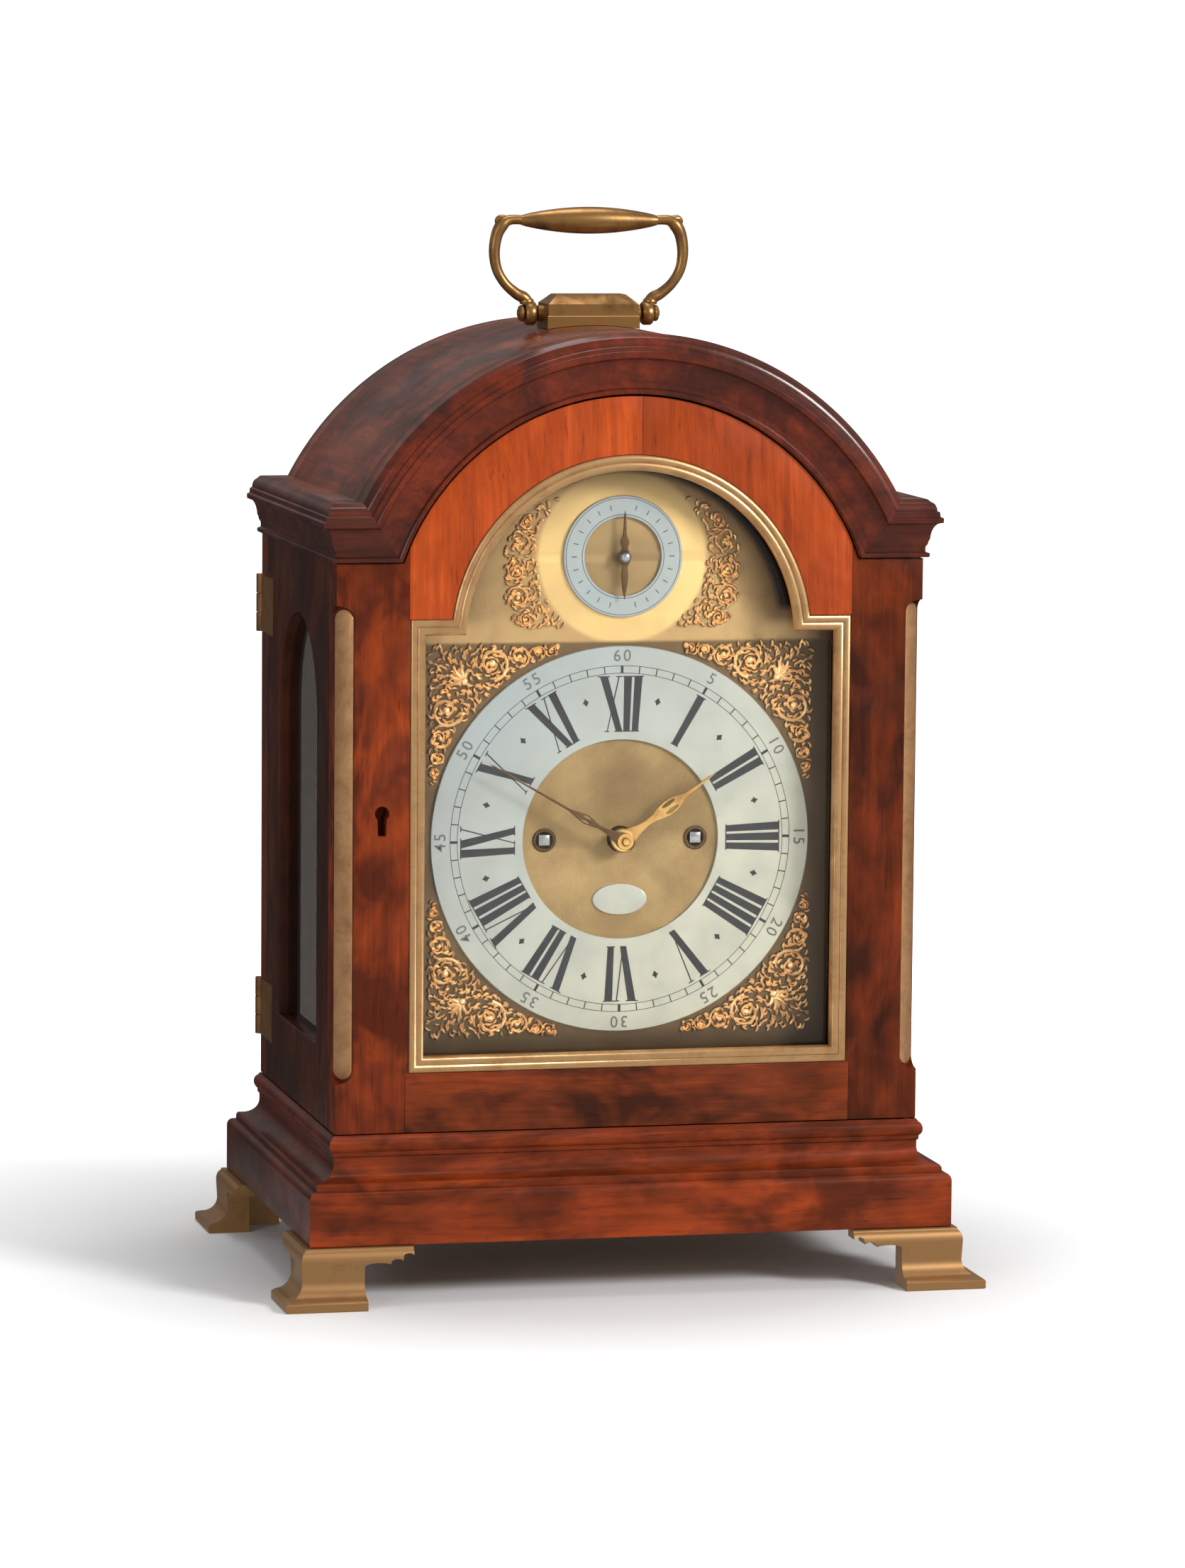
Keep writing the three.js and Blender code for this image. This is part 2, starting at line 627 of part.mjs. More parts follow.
// A prism on the canted corner of the door: outline in (along the cant, z), from a depth
// measured outwards from the cant's face.
function onCant(sx, shape, from, to) {
  const geometry = new THREE.ExtrudeGeometry(shape, { depth: to - from, bevelEnabled: false });
  const outward = new THREE.Vector3(sx, -1, 0).normalize();
  const along = new THREE.Vector3(1, sx, 0).normalize();
  const basis = new THREE.Matrix4().makeBasis(along, new THREE.Vector3(0, 0, 1), outward);
  const reach = from - cantLeg / Math.SQRT2;
  basis.setPosition(sx * halfWidth + outward.x * reach, frontY + outward.y * reach, 0);
  geometry.applyMatrix4(basis);
  const solid = toSolid(geometry);
  return solid.volume() > 0 ? solid : toSolid(flipped(geometry));
}

function roundEnded(half, low, high, steps = 5) {
  return shapeOf([...arcPoints(0, high - half, half, half, 0, 180, steps),
    ...arcPoints(0, low + half, half, half, 180, 360, steps)]);
}

const cantHalf = cantLeg / Math.SQRT2 + 0.2;
const stripLow = cantBottom + stripMargin;
const stripHigh = cantTop - stripMargin;

function frontDoor() {
  const outline = breakArch(halfWidth, doorBottom, doorTop, archCentreHeight, doorArch);
  const slab = acrossY(outline, frontY, doorBackY);
  const tools = [
    acrossY(aperture(-seat), frontY - 1, frontY + sightDepth + seat),
    acrossY(aperture(sightWidth - sightLap), frontY - 1, doorBackY + 1),
    acrossY(aperture(sightWidth - sightLap - glassLap - fit), glassFrontY, doorBackY + 1),
    rod(hingePinRadius + fit, 'z', doorBottom - 1, doorBottom + hingePinLength + 0.5,
      hingeX, hingeY),
    rod(hingePinRadius + fit, 'z', doorTop - hingePinLength - 0.5, doorTop + 1, hingeX, hingeY),
    acrossY(keyhole(), frontY - 1, doorBackY + 1),
    block(lockLeft - fit, lockLeft + lockWidth + fit, doorBackY - lockPocket - fit, doorBackY + 1,
      lockLow - fit, lockLow + lockHeight + fit),
  ];
  for (const sx of [-1, 1]) {
    tools.push(onCant(sx, roundEnded(cantHalf, cantBottom, cantTop), 0, 8),
      onCant(sx, roundEnded(stripWidth / 2 + seat, stripLow - seat, stripHigh + seat),
        -(stripThickness - stripProud) - seat, 1));
  }
  return cut(slab, ...tools);
}

function sightFrame() {
  return cut(acrossY(aperture(0), frontY - sightProud, frontY + sightDepth),
    acrossY(aperture(sightWidth), frontY - 2, frontY + sightDepth + 1));
}

function doorGlass() {
  return acrossY(aperture(sightWidth - sightLap - glassLap), glassFrontY + seat,
    glassFrontY + seat + glassThickness);
}

const cornerStrip = (sx) => onCant(sx, roundEnded(stripWidth / 2, stripLow, stripHigh),
  -(stripThickness - stripProud), stripProud);

// ---------- lock ----------
const lockLeft = -sideInnerX + lockStandOff;
const lockLow = keyholeHeight - lockHeight / 2;
const boltY = sideFrontY + 2.4;

function keyhole() {
  return shapeOf([
    ...arcPoints(keyholeX, keyholeHeight + 3, keyholeRadius, keyholeRadius, -50, 230, 6),
    [keyholeX - keyholeSlot / 2, keyholeHeight - 6.2],
    [keyholeX + keyholeSlot / 2, keyholeHeight - 6.2]]);
}

function boltMortise() {
  return block(-sideInnerX - boltTravel - 1.5, -sideInnerX + 1, boltY - fit,
    boltY + boltThickness + fit, keyholeHeight - boltHeight / 2 - fit,
    keyholeHeight + boltHeight / 2 + fit);
}

function frontLock() {
  const body = block(lockLeft, lockLeft + lockWidth, doorBackY - lockPocket,
    doorBackY - lockPocket + lockDepth, lockLow, lockLow + lockHeight);
  const channel = block(lockLeft - 1, lockLeft + boltLength + 0.6, boltY - fit,
    boltY + boltThickness + fit, keyholeHeight - boltHeight / 2 - fit,
    keyholeHeight + boltHeight / 2 + fit);
  const keyway = acrossY(keyhole(), doorBackY - lockPocket - 1, doorBackY - 1);
  return cut(body, channel, keyway);
}

function lockBolt() {
  return block(lockLeft + 0.3, lockLeft + boltLength, boltY, boltY + boltThickness,
    keyholeHeight - boltHeight / 2, keyholeHeight + boltHeight / 2);
}

// ---------- rear door ----------
const knuckleX = -halfWidth + 0.3;
const knuckleY = rearY + knuckleRadius + fit;

const rearAperture = (extra) => shapeOf([[-rearApertureHalfWidth - extra, rearApertureSill - extra],
  [rearApertureHalfWidth + extra, rearApertureSill - extra],
  ...arcPoints(0, archCentreHeight, rearApertureHalfWidth + extra, rearApertureHalfWidth + extra,
    0, 180, 20)]);

function rearDoor() {
  const outline = breakArch(halfWidth, doorBottom, doorTop, archCentreHeight,
    archInner - rearDoorGap);
  const tools = [
    acrossY(rearAperture(0), rearDoorY - 1, rearY + 1),
    acrossY(rearAperture(glassLap + fit), rearDoorY - 1, rearY - rearGlassInset),
    rod(catchStemRadius + fit, 'y', rearDoorY - 1, rearY + 1, catchX, catchHeight),
  ];
  for (const z of [buttUpper, buttLower]) tools.push(buttBed(z), leafBed(z));
  return cut(acrossY(outline, rearDoorY, rearY), ...tools);
}

const rearGlass = () => acrossY(rearAperture(glassLap),
  rearY - rearGlassInset - seat - glassThickness, rearY - rearGlassInset - seat);

// Bed of a fixed leaf in the outer face of the side and of the door's edge.
function buttBed(z) {
  return block(-halfWidth - 1, -halfWidth + buttLeafThickness + fit, rearY - buttLeaf - fit,
    rearY + 1, z - buttHeight / 2 - fit, z + buttHeight / 2 + fit);
}

// Bed of a moving leaf in the back of the door.
function leafBed(z) {
  return block(-halfWidth - 1, -halfWidth + buttLeaf + fit, rearY - buttLeafThickness - fit,
    rearY + 1, z - buttHeight / 2 - fit, z + buttHeight / 2 + fit);
}

function buttFixed(z) {
  const half = buttHeight / 2;
  const third = buttHeight / 6;
  const leaf = block(-halfWidth - 0.2, -halfWidth + buttLeafThickness - 0.2, rearY - buttLeaf,
    knuckleY, z - half, z + half);
  const barrel = rod(knuckleRadius, 'z', z - half, z + half, knuckleX, knuckleY, 8);
  const middle = block(-halfWidth - 4, -halfWidth + 4, rearY - fit, rearY + 8,
    z - third - fit / 2, z + third + fit / 2);
  const pin = rod(buttPinRadius, 'z', z - half, z + half, knuckleX, knuckleY, 8);
  return joined(cut(joined(leaf, barrel), middle), pin);
}

function buttMoving(z) {
  const half = buttHeight / 2;
  const third = buttHeight / 6;
  const leaf = block(knuckleX + knuckleRadius + fit, -halfWidth + buttLeaf,
    rearY - buttLeafThickness, rearY + 0.1, z - half, z + half);
  const barrel = rod(knuckleRadius, 'z', z - third + fit / 2, z + third - fit / 2,
    knuckleX, knuckleY, 8);
  const tongue = block(knuckleX + 0.8, knuckleX + knuckleRadius + 3, rearY - buttLeafThickness,
    rearY + 1.4, z - third + fit / 2, z + third - fit / 2);
  const bore = rod(buttPinRadius + fit, 'z', z - half, z + half, knuckleX, knuckleY, 8);
  return cut(joined(leaf, tongue, barrel), bore);
}

// ---------- rear catch ----------
// Slot in the right side that the catch's arm turns down into.
function catchMortise() {
  return block(sideInnerX - 1, catchX + catchLength + 1, catchArmY - fit,
    catchArmY + catchArm + fit, catchHeight - 3.8, catchHeight + catchLength - 2);
}

const catchX = sideInnerX - catchStandOff;
const catchArmY = rearDoorY - catchSetback;

function rearCatch() {
  const stem = rod(catchStemRadius, 'y', catchArmY, rearY + 3, catchX, catchHeight);
  const knob = turned([[0, rearY + 2], [1.6, rearY + 2], [catchRadius, rearY + 5],
    [catchRadius, rearY + 7], [2.4, rearY + 8.6], [0, rearY + 9]], 'y', catchX, 0, catchHeight, 12);
  const washer = rod(3, 'y', rearY + fit, rearY + 2.5, catchX, catchHeight);
  const arm = block(catchX - 3, catchX + 3, catchArmY, catchArmY + catchArm, catchHeight - 3,
    catchHeight + catchLength);
  return joined(stem, knob, washer, arm);
}

// ---------- handle ----------
function handlePad() {
  const high = handleAxisHeight + padHeight;
  const halfX = padWidth / 2;
  const halfY = padDepth / 2;
  const shoulder = high - padChamferDrop;
  const upper = mitredSolid([[0, shoulder], [-padChamfer, high]], halfX, halfY);
  const lower = block(-halfX, halfX, -halfY, halfY, shoulder - 18, shoulder);
  const vaulted = rod(roofOuter + seat, 'y', -halfY - 1, halfY + 1, 0, archCentreHeight, 60);
  const reach = handleEyeX + handleEyeWidth / 2;
  const pivot = (sx) => turned([[0, 0], [pivotRadius, 0], [pivotRadius, reach + fit],
    [pivotKnobRadius, reach + fit], [pivotKnobRadius, reach + fit + pivotKnobLength - 1],
    [1.5, reach + fit + pivotKnobLength], [0, reach + fit + pivotKnobLength]].map(([r, h]) =>
    [r, sx * h]), 'x', 0, handleY, handleAxisHeight, 8);
  const boss = rod(pivotKnobRadius, 'x', -(handleEyeX - handleEyeWidth / 2 - fit),
    handleEyeX - handleEyeWidth / 2 - fit, handleY, handleAxisHeight, 8);
  return joined(cut(joined(lower, upper), vaulted), boss, pivot(1), pivot(-1));
}

// A block whose rectangle changes with height, as [offset, height] levels.
function mitredSolid(levels, halfX, halfY) {
  const [[low, z0], [high, z1]] = levels;
  const ratio = [(halfX + high) / (halfX + low), (halfY + high) / (halfY + low)];
  const geometry = new THREE.BoxGeometry(2 * (halfX + low), 2 * (halfY + low), z1 - z0);
  const at = geometry.attributes.position;
  for (let i = 0; i < at.count; i += 1) {
    if (at.getZ(i) > 0) at.setXY(i, at.getX(i) * ratio[0], at.getY(i) * ratio[1]);
  }
  geometry.translate(0, 0, (z0 + z1) / 2);
  return toSolid(geometry);
}

function handle() {
  const grip = turned([[0, -gripHalfLength], [gripNeckRadius, -gripHalfLength],
    ...arcPoints(0, 2, gripHalfLength - 2, gripRadius - 2, 172, 8, 6).map(([h, r]) => [r, h]),
    [gripNeckRadius, gripHalfLength], [0, gripHalfLength]], 'x', 0, handleY,
  handleAxisHeight + handleGripHeight, 8);
  const base = handleAxisHeight;
  const outer = handleOuterX;
  const eyeX = handleEyeX;
  const arms = [-1, 1].map((sx) => {
    const path = new THREE.CatmullRomCurve3([
      [gripHalfLength - 1.5, handleGripHeight], [outer - 4.5, handleGripHeight - 1.5],
      [outer - 0.8, handleGripHeight - 6.5], [outer, handleGripHeight - 14],
      [outer - 1.8, handleGripHeight - 22], [outer - 7.6, handleGripHeight - 29],
      [eyeX + 1.6, handleEyeRadius + 1.6], [eyeX, handleEyeRadius - 1.6],
    ].map(([x, z]) => new THREE.Vector3(sx * x, handleY, base + z)));
    const tube = new THREE.ExtrudeGeometry(shapeOf(arcPoints(0, 0, handleArmRadius,
      handleArmRadius, 0, 300, 5)), { steps: 10, extrudePath: path, bevelEnabled: false });
    const solid = toSolid(tube);
    return solid.volume() > 0 ? solid : toSolid(flipped(tube));
  });
  const tips = [-1, 1].map((sx) => turned([[0, 0], [1.8, 0], [1.2, 2.4], [0, 3.4]], 'z',
    sx * (outer - 3.2), handleY, base + handleGripHeight - 1, 6));
  const eyes = [-1, 1].map((sx) => rod(handleEyeRadius, 'x',
    sx * eyeX - handleEyeWidth / 2, sx * eyeX + handleEyeWidth / 2, handleY, base, 12));
  const bore = rod(pivotRadius + fit, 'x', -eyeX - 10, eyeX + 10, handleY, base, 8);
  return cut(joined(grip, ...arms, ...tips, ...eyes), bore);
}

// ---------- dial ----------
const plateShape = (inset) => breakArch(dialHalfWidth - inset, dialCentre - dialHalfWidth + inset,
  dialShoulder - inset, apertureArchCentre, dialArchRadius - inset);

function dialPlate() {
  const plate = acrossY(plateShape(0), dialFaceY, dialBackY);
  const feet = [[-50, 45], [50, 45], [-50, -60], [50, -60]].map(([x, z]) =>
    rod(dialFootRadius, 'y', dialBackY - 0.5, frontPlateY - seat, x, dialCentre + z, 6));
  return cut(joined(plate, ...feet),
    rod(hourPipeRadius + 1.2, 'y', dialFaceY - 1, dialBackY + 1, 0, dialCentre, 12),
    rod(windingHoleRadius, 'y', dialFaceY - 1, dialBackY + 1, -windingX, dialCentre, 10),
    rod(windingHoleRadius, 'y', dialFaceY - 1, dialBackY + 1, windingX, dialCentre, 10),
    rod(arborRadius + pivotGap, 'y', dialFaceY - 1, dialBackY + 1, 0, silentHeight));
}

function ring(outer, inner, z, segments) {
  return turned([[inner, ringFaceY], [outer, ringFaceY], [outer, ringSeatY], [inner, ringSeatY],
    [inner, ringFaceY]], 'y', 0, 0, z, segments);
}

// A cast corner spandrel: scrolling lobes along its two outer edges, hollowed round the
// chapter ring, with openwork eyes.
function spandrel(sx, sz) {
  const edge = dialHalfWidth - spandrelMargin;
  const hollow = chapterOuter + spandrelGap;
  const points = [];
  const lobes = 4;
  const steps = 4 * lobes;
  for (let i = 0; i <= steps; i += 1) {
    const along = i / steps;
    const line = edge - lobeDepth + lobeDepth * Math.abs(Math.sin(Math.PI * lobes * along));
    const reach = spandrelTip + (edge - spandrelTip) * (1 - Math.abs(2 * along - 1));
    points.push(along < 0.5 ? [line, reach] : [reach, line]);
  }
  const outline = [...points.filter(([u, v]) => Math.hypot(u, v) > hollow + 1.7),
    ...arcPoints(0, 0, hollow, hollow, 70, 20, 6)];
  const body = acrossY(shapeOf(outline.map(([u, v]) => [sx * u, dialCentre + sz * v])),
    dialFaceY - spandrelThickness, ringSeatY);
  const eyes = [[9, 9, 3], [5, 24, 2.2], [24, 5, 2.2]];
  return cut(body, ...eyes.map(([du, dv, r]) => acrossY(
    circleShape(sx * (edge - du), dialCentre + sz * (edge - dv), r), dialFaceY - 4, dialFaceY + 1)));
}

// A crescent spandrel beside the strike/silent ring: thin at its upper end, square below.
function archSpandrel(sx) {
  const near = silentOuter + crescentGap;
  const tipAngle = 44;
  const lowAngle = THREE.MathUtils.radToDeg(Math.asin(crescentBase / near));
  const outer = [];
  const steps = 14;
  for (let i = 1; i <= steps; i += 1) {
    const angle = tipAngle - 60 * i / steps;
    const wave = 0.8 * Math.sin(Math.PI * (i % 4) / 4);
    const radius = near + crescentWidth * Math.sin(Math.PI / 2 * i / steps) + wave;
    const a = THREE.MathUtils.degToRad(angle);
    outer.push([Math.min(crescentHalfSpan, radius * Math.cos(a)), silentHeight + radius * Math.sin(a)]);
  }
  outer.push([crescentHalfSpan, silentHeight - crescentBase]);
  const inner = arcPoints(0, silentHeight, near, near, -lowAngle, tipAngle, 8);
  const outline = [...inner, ...outer].map(([x, z]) => [sx * x, z]);
  const body = acrossY(shapeOf(outline), dialFaceY - spandrelThickness, ringSeatY);
  return cut(body, acrossY(circleShape(sx * (near + 8), silentHeight - 8, 2.6),
    dialFaceY - 4, dialFaceY + 1));
}

function dialPlaque() {
  return acrossY(shapeOf(arcPoints(0, dialCentre - plaqueDrop, plaqueHalfWidth, plaqueHalfHeight,
    0, 340, 17)), ringSeatY - plaqueThickness, ringSeatY);
}

function dialMask() {
  const low = plinthTop + seat;
  const outer = shapeOf([[-sideInnerX + fit, low], [sideInnerX - fit, low],
    [sideInnerX - fit, shoulderUnderside - 1],
    ...arcPoints(0, archCentreHeight, roofInner - fit, roofInner - fit, 18, 162, 18),
    [-sideInnerX + fit, shoulderUnderside - 1]]);
  const y0 = dialFaceY + 1;
  const notch = block(-halfWidth, lockLeft + lockWidth + 1.2, y0 - 1,
    doorBackY - lockPocket + lockDepth + 1, lockLow - 1.2, lockLow + lockHeight + 1.2);
  return cut(acrossY(outer, y0, y0 + maskThickness),
    acrossY(plateShape(-maskGap), y0 - 1, y0 + maskThickness + 1), notch);
}

// ---------- hands ----------
const minuteFaceY = ringFaceY - minuteStandOff;
const hourFaceY = ringFaceY - hourStandOff;
const hourPipeBore = hourPipeRadius - hourPipeWall;

// A hand drawn pointing up from its hub, then turned clockwise to its hour.
function hand(outline, holes, hubRadius, bore, angle, centre, front) {
  const shape = shapeOf([...outline, ...outline.map(([x, z]) => [-x, z]).reverse().slice(1)]);
  const body = acrossY(shape, front, front + handThickness);
  const cuts = holes.map((points) => acrossY(shapeOf(points), front - 1, front + 3));
  const hub = rod(hubRadius, 'y', front - 0.6, front + handThickness + 0.6, 0, 0, 12);
  const solid = cut(joined(cut(body, ...cuts), hub), rod(bore, 'y', front - 3, front + 4, 0, 0, 10));
  const geometry = toGeometry(solid);
  geometry.rotateY(THREE.MathUtils.degToRad(angle));
  geometry.translate(0, 0, centre);
  return toSolid(geometry);
}

function minuteHand() {
  const length = minuteLength;
  const outline = [[0, length], [0.5, length - 3], [0.8, length * 0.45], [1.9, length * 0.33],
    [2.6, length * 0.27], [1.3, length * 0.2], [2.4, length * 0.12], [2.4, -4], [0, -5]];
  return hand(outline, [], minuteHubRadius, arborRadius + seat, minuteAngle, dialCentre, minuteFaceY);
}

function hourHand() {
  const length = hourLength;
  const outline = [[0, length], [0.7, length - 4], [1.4, length * 0.72], [4.2, length * 0.58],
    [4.9, length * 0.5], [3.6, length * 0.42], [1.6, length * 0.34], [2.6, length * 0.2],
    [3.4, 3], [3.4, -4], [0, -5]];
  const pierced = [-1, 1].map((sx) => arcPoints(sx * 2.1, length * 0.505, 1.2, 3.4, 0, 300, 5));
  const blade = hand(outline, pierced, hourHubRadius, hourPipeBore, hourAngle, dialCentre, hourFaceY);
  const pipe = cut(rod(hourPipeRadius, 'y', hourFaceY + 0.5, frontPlateY - 1.2, 0, dialCentre, 10),
    rod(hourPipeBore, 'y', hourFaceY - 1, frontPlateY, 0, dialCentre, 10));
  const wheel = gear(20, hourWheelRadius, 1.2, 2, hourPipeRadius - 1.2, frontPlateY - 4.2, 0,
    dialCentre, 30);
  return joined(blade, pipe, wheel);
}

function silentHand() {
  const length = silentHandLength;
  const outline = [[0, length], [0.6, length - 3], [0.9, 5], [2.2, 3], [2.2, -3], [1.3, -6],
    [1.6, -length + 5], [0, -length + 1.5]];
  const front = ringFaceY - silentStandOff;
  const blade = hand(outline, [], silentHubRadius, 0.4, 0, silentHeight, front);
  const arbor = rod(arborRadius, 'y', front - 1.4, leverBackY, 0, silentHeight);
  const boss = turned([[0, front - 2.6], [1.8, front - 2.2], [2.6, front - 0.6], [2.6, front],
    [0, front]], 'y', 0, 0, silentHeight, 10);
  const lever = block(-2, 2, leverBackY - leverThickness, leverBackY, silentHeight - 12,
    silentHeight + 2);
  return joined(blade, arbor, boss, lever);
}

// ---------- wheels ----------
// A crossed-out wheel: teeth, tip radius, tooth height, thickness, bore, front plane, place.
function gear(teeth, tip, toothHeight, thickness, bore, front, x, z, rim) {
  const root = tip - toothHeight;
  const points = [];
  for (let i = 0; i < teeth; i += 1) {
    for (const [part, radius] of [[0, root], [0.5, tip]]) {
      const a = (i + part) / teeth * 2 * Math.PI;
      points.push([x + radius * Math.cos(a), z + radius * Math.sin(a)]);
    }
  }
  const shape = shapeOf(points);
  const hub = bore + 2;
  const inner = root - rim;
  if (inner > hub + 2.5) {
    for (let k = 0; k < 4; k += 1) {
      const from = 90 * k + 14;
      const to = from + 62;
      const hole = [...arcPoints(x, z, inner, inner, from, to, 3),
        ...arcPoints(x, z, hub, hub, to - 14, from + 14, 2)];
      shape.holes.push(new THREE.Path(hole.map(([a, b]) => new THREE.Vector2(a, b))));
    }
  }
  const body = acrossY(shape, front, front + thickness);
  return bore > 0.1 ? body.subtract(rod(bore, 'y', front - 1, front + thickness + 1, x, z, 12)) : body;
}

// ---------- movement ----------
const seatboardTop = plateBottom - seat;
const seatboardBottom = seatboardTop - seatboardThickness;
const arbors = [[0, dialCentre], [-windingX, dialCentre], [windingX, dialCentre],
  [-barrelX, barrelHeight], [barrelX, barrelHeight], [0, escapeHeight], [hammerX, hammerHeight]];
const pillarX = plateWidth / 2 - pillarInset;
const pillarLow = plateBottom + pillarInset;
const pillarHigh = plateTop - pillarInset;
const pillarPlaces = [[-pillarX, pillarLow], [pillarX, pillarLow], [-pillarX, pillarHigh],
  [pillarX, pillarHigh], [0, pillarLow]];

function plateOutline(y0, y1) {
  const half = plateWidth / 2;
  let plate = block(-half, half, y0, y1, plateBottom, plateTop);
  for (const [x, z] of arbors) {
    plate = plate.subtract(rod(arborRadius + pivotGap, 'y', y0 - 1, y1 + 1, x, z, 6));
  }
  return plate;
}

function frontPlate() {
  const lower = pillarPlaces.map(([x, z]) =>
    rod(pivotGap + 2, 'y', frontPlateY - 1, pillarFrontY + 1, x, z, 6));
  const wide = [-1, 1].map((sx) => rod(windingHoleRadius, 'y', frontPlateY - 1, pillarFrontY + 1,
    sx * windingX, dialCentre));
  const verge = rod(arborRadius + pivotGap, 'y', frontPlateY - 1, pillarFrontY + 1, 0, vergeHeight, 6);
  return cut(plateOutline(frontPlateY, pillarFrontY), ...lower, ...wide, verge);
}

function backPlate() {
  const pillars = pillarPlaces.map(([x, z]) => {
    const profile = [[0, 0], [pillarRadius + 1.4, 0], [pillarRadius - 1.2, 4],
      [pillarRadius + 1, pillarLength / 2], [pillarRadius - 1.2, pillarLength - 4],
      [pillarRadius + 1.4, pillarLength - seat],
      [2, pillarLength - seat], [2, pillarLength + plateThickness + 2.5],
      [0, pillarLength + plateThickness + 2.5]];
    return turned(profile.map(([r, h]) => [r, backPlateY + 0.4 - h]), 'y', x, 0, z, 6);
  });
  const slot = block(-6, 6, backPlateY - 1, backPlateBackY + 1, vergeHeight - 5, plateTop + 1);
  return cut(joined(plateOutline(backPlateY, backPlateBackY), ...pillars), slot);
}

// Fusee with its spiral grooves shown as steps, great wheel, arbor and winding square.
function fusee(sx) {
  const x = sx * windingX;
  const wheelY = backPlateY - 4.5;
  const large = wheelY - 0.2;
  const small = pillarFrontY + 9;
  const grooves = 5;
  const profile = [[0, small - 2], [fuseeSmall, small - 2], [fuseeSmall, small]];
  for (let i = 0; i < grooves; i += 1) {
    const t = i / grooves;
    const y = small + (large - small) * t;
    const step = (large - small) / grooves;
    const radius = fuseeSmall + (fuseeLarge - fuseeSmall) * t ** 0.8;
    profile.push([radius + 1, y + step * 0.15], [radius, y + step * 0.6]);
  }
  profile.push([fuseeLarge + 1.5, large], [0, large]);
  const cone = turned(profile, 'y', x, 0, dialCentre, 12);
  const wheel = gear(34, greatWheelRadius, 2.2, greatWheelThickness, 0, wheelY - 0.4, x, dialCentre, 30);
  const arbor = rod(arborRadius, 'y', frontPlateY - 1, backPlateBackY - pivotShort, x, dialCentre);
  const neck = rod(2.6, 'y', frontPlateY + 0.5, small - 1, x, dialCentre, 8);
  const half = squareSide / 2;
  const square = block(x - half, x + half, dialFaceY - 0.6, frontPlateY + 1, dialCentre - half,
    dialCentre + half);
  return joined(cone, wheel, arbor, neck, square);
}

function barrel(sx) {
  const x = sx * barrelX;
  const start = pillarFrontY + (pillarLength - barrelLength) / 2;
  const end = start + barrelLength;
  const r = barrelRadius;
  const drum = turned([[0, start], [r, start], [r, start + 2], [r - 1, start + 2.4],
    [r - 1, end - 2], [r, end - 2], [r, end], [0, end]], 'y', x, 0, barrelHeight, 14);
  const arbor = rod(arborRadius, 'y', frontPlateY + pivotShort, backPlateBackY - pivotShort, x, barrelHeight);
  const shoulders = rod(3.2, 'y', pillarFrontY + 0.6, backPlateY - 0.6, x, barrelHeight);
  return joined(drum, arbor, shoulders);
}

function centreWheel() {
  const arbor = rod(arborRadius, 'y', minuteFaceY - 0.9, backPlateBackY - pivotShort, 0, dialCentre);
  const wheel = gear(26, centreWheelRadius, 1.6, 1.8, 0, pillarFrontY + 3, 0, dialCentre, 3.4);
  const pinion = rod(greatPinionRadius, 'y', backPlateY - 7, backPlateY - 1, 0, dialCentre);
  const shoulder = rod(2.2, 'y', pillarFrontY + 0.6, backPlateY - 0.6, 0, dialCentre);
  const pipe = rod(2.2, 'y', minuteFaceY + handThickness + 1, frontPlateY - 0.6, 0, dialCentre);
  return joined(arbor, wheel, pinion, shoulder, pipe);
}

function escapeWheel() {
  const front = backPlateY - 12;
  const teeth = 15;
  const points = [];
  for (let i = 0; i < teeth; i += 1) {
    const a = (part) => (i + part) / teeth * 2 * Math.PI;
    for (const [part, radius] of [[0, escapeRadius - 2.6], [0.8, escapeRadius]]) {
      points.push([radius * Math.cos(a(part)), escapeHeight + radius * Math.sin(a(part))]);
    }
  }
  const body = acrossY(shapeOf(points), front, front + 1.6);
  const windows = [0, 1, 2, 3].map((k) => acrossY(shapeOf([
    ...arcPoints(0, escapeHeight, escapeRadius - 4.6, escapeRadius - 4.6, 90 * k + 16, 90 * k + 74, 2),
    ...arcPoints(0, escapeHeight, 4, 4, 90 * k + 60, 90 * k + 30, 1)]), front - 1, front + 3));
  const arbor = rod(arborRadius, 'y', frontPlateY + pivotShort, backPlateBackY - pivotShort, 0, escapeHeight);
  const pinion = rod(2.6, 'y', pillarFrontY + 2, pillarFrontY + 9, 0, escapeHeight);
  const hub = rod(3, 'y', front - 2, front + 3, 0, escapeHeight);
  return joined(cut(body, ...windows), arbor, pinion, hub);
}

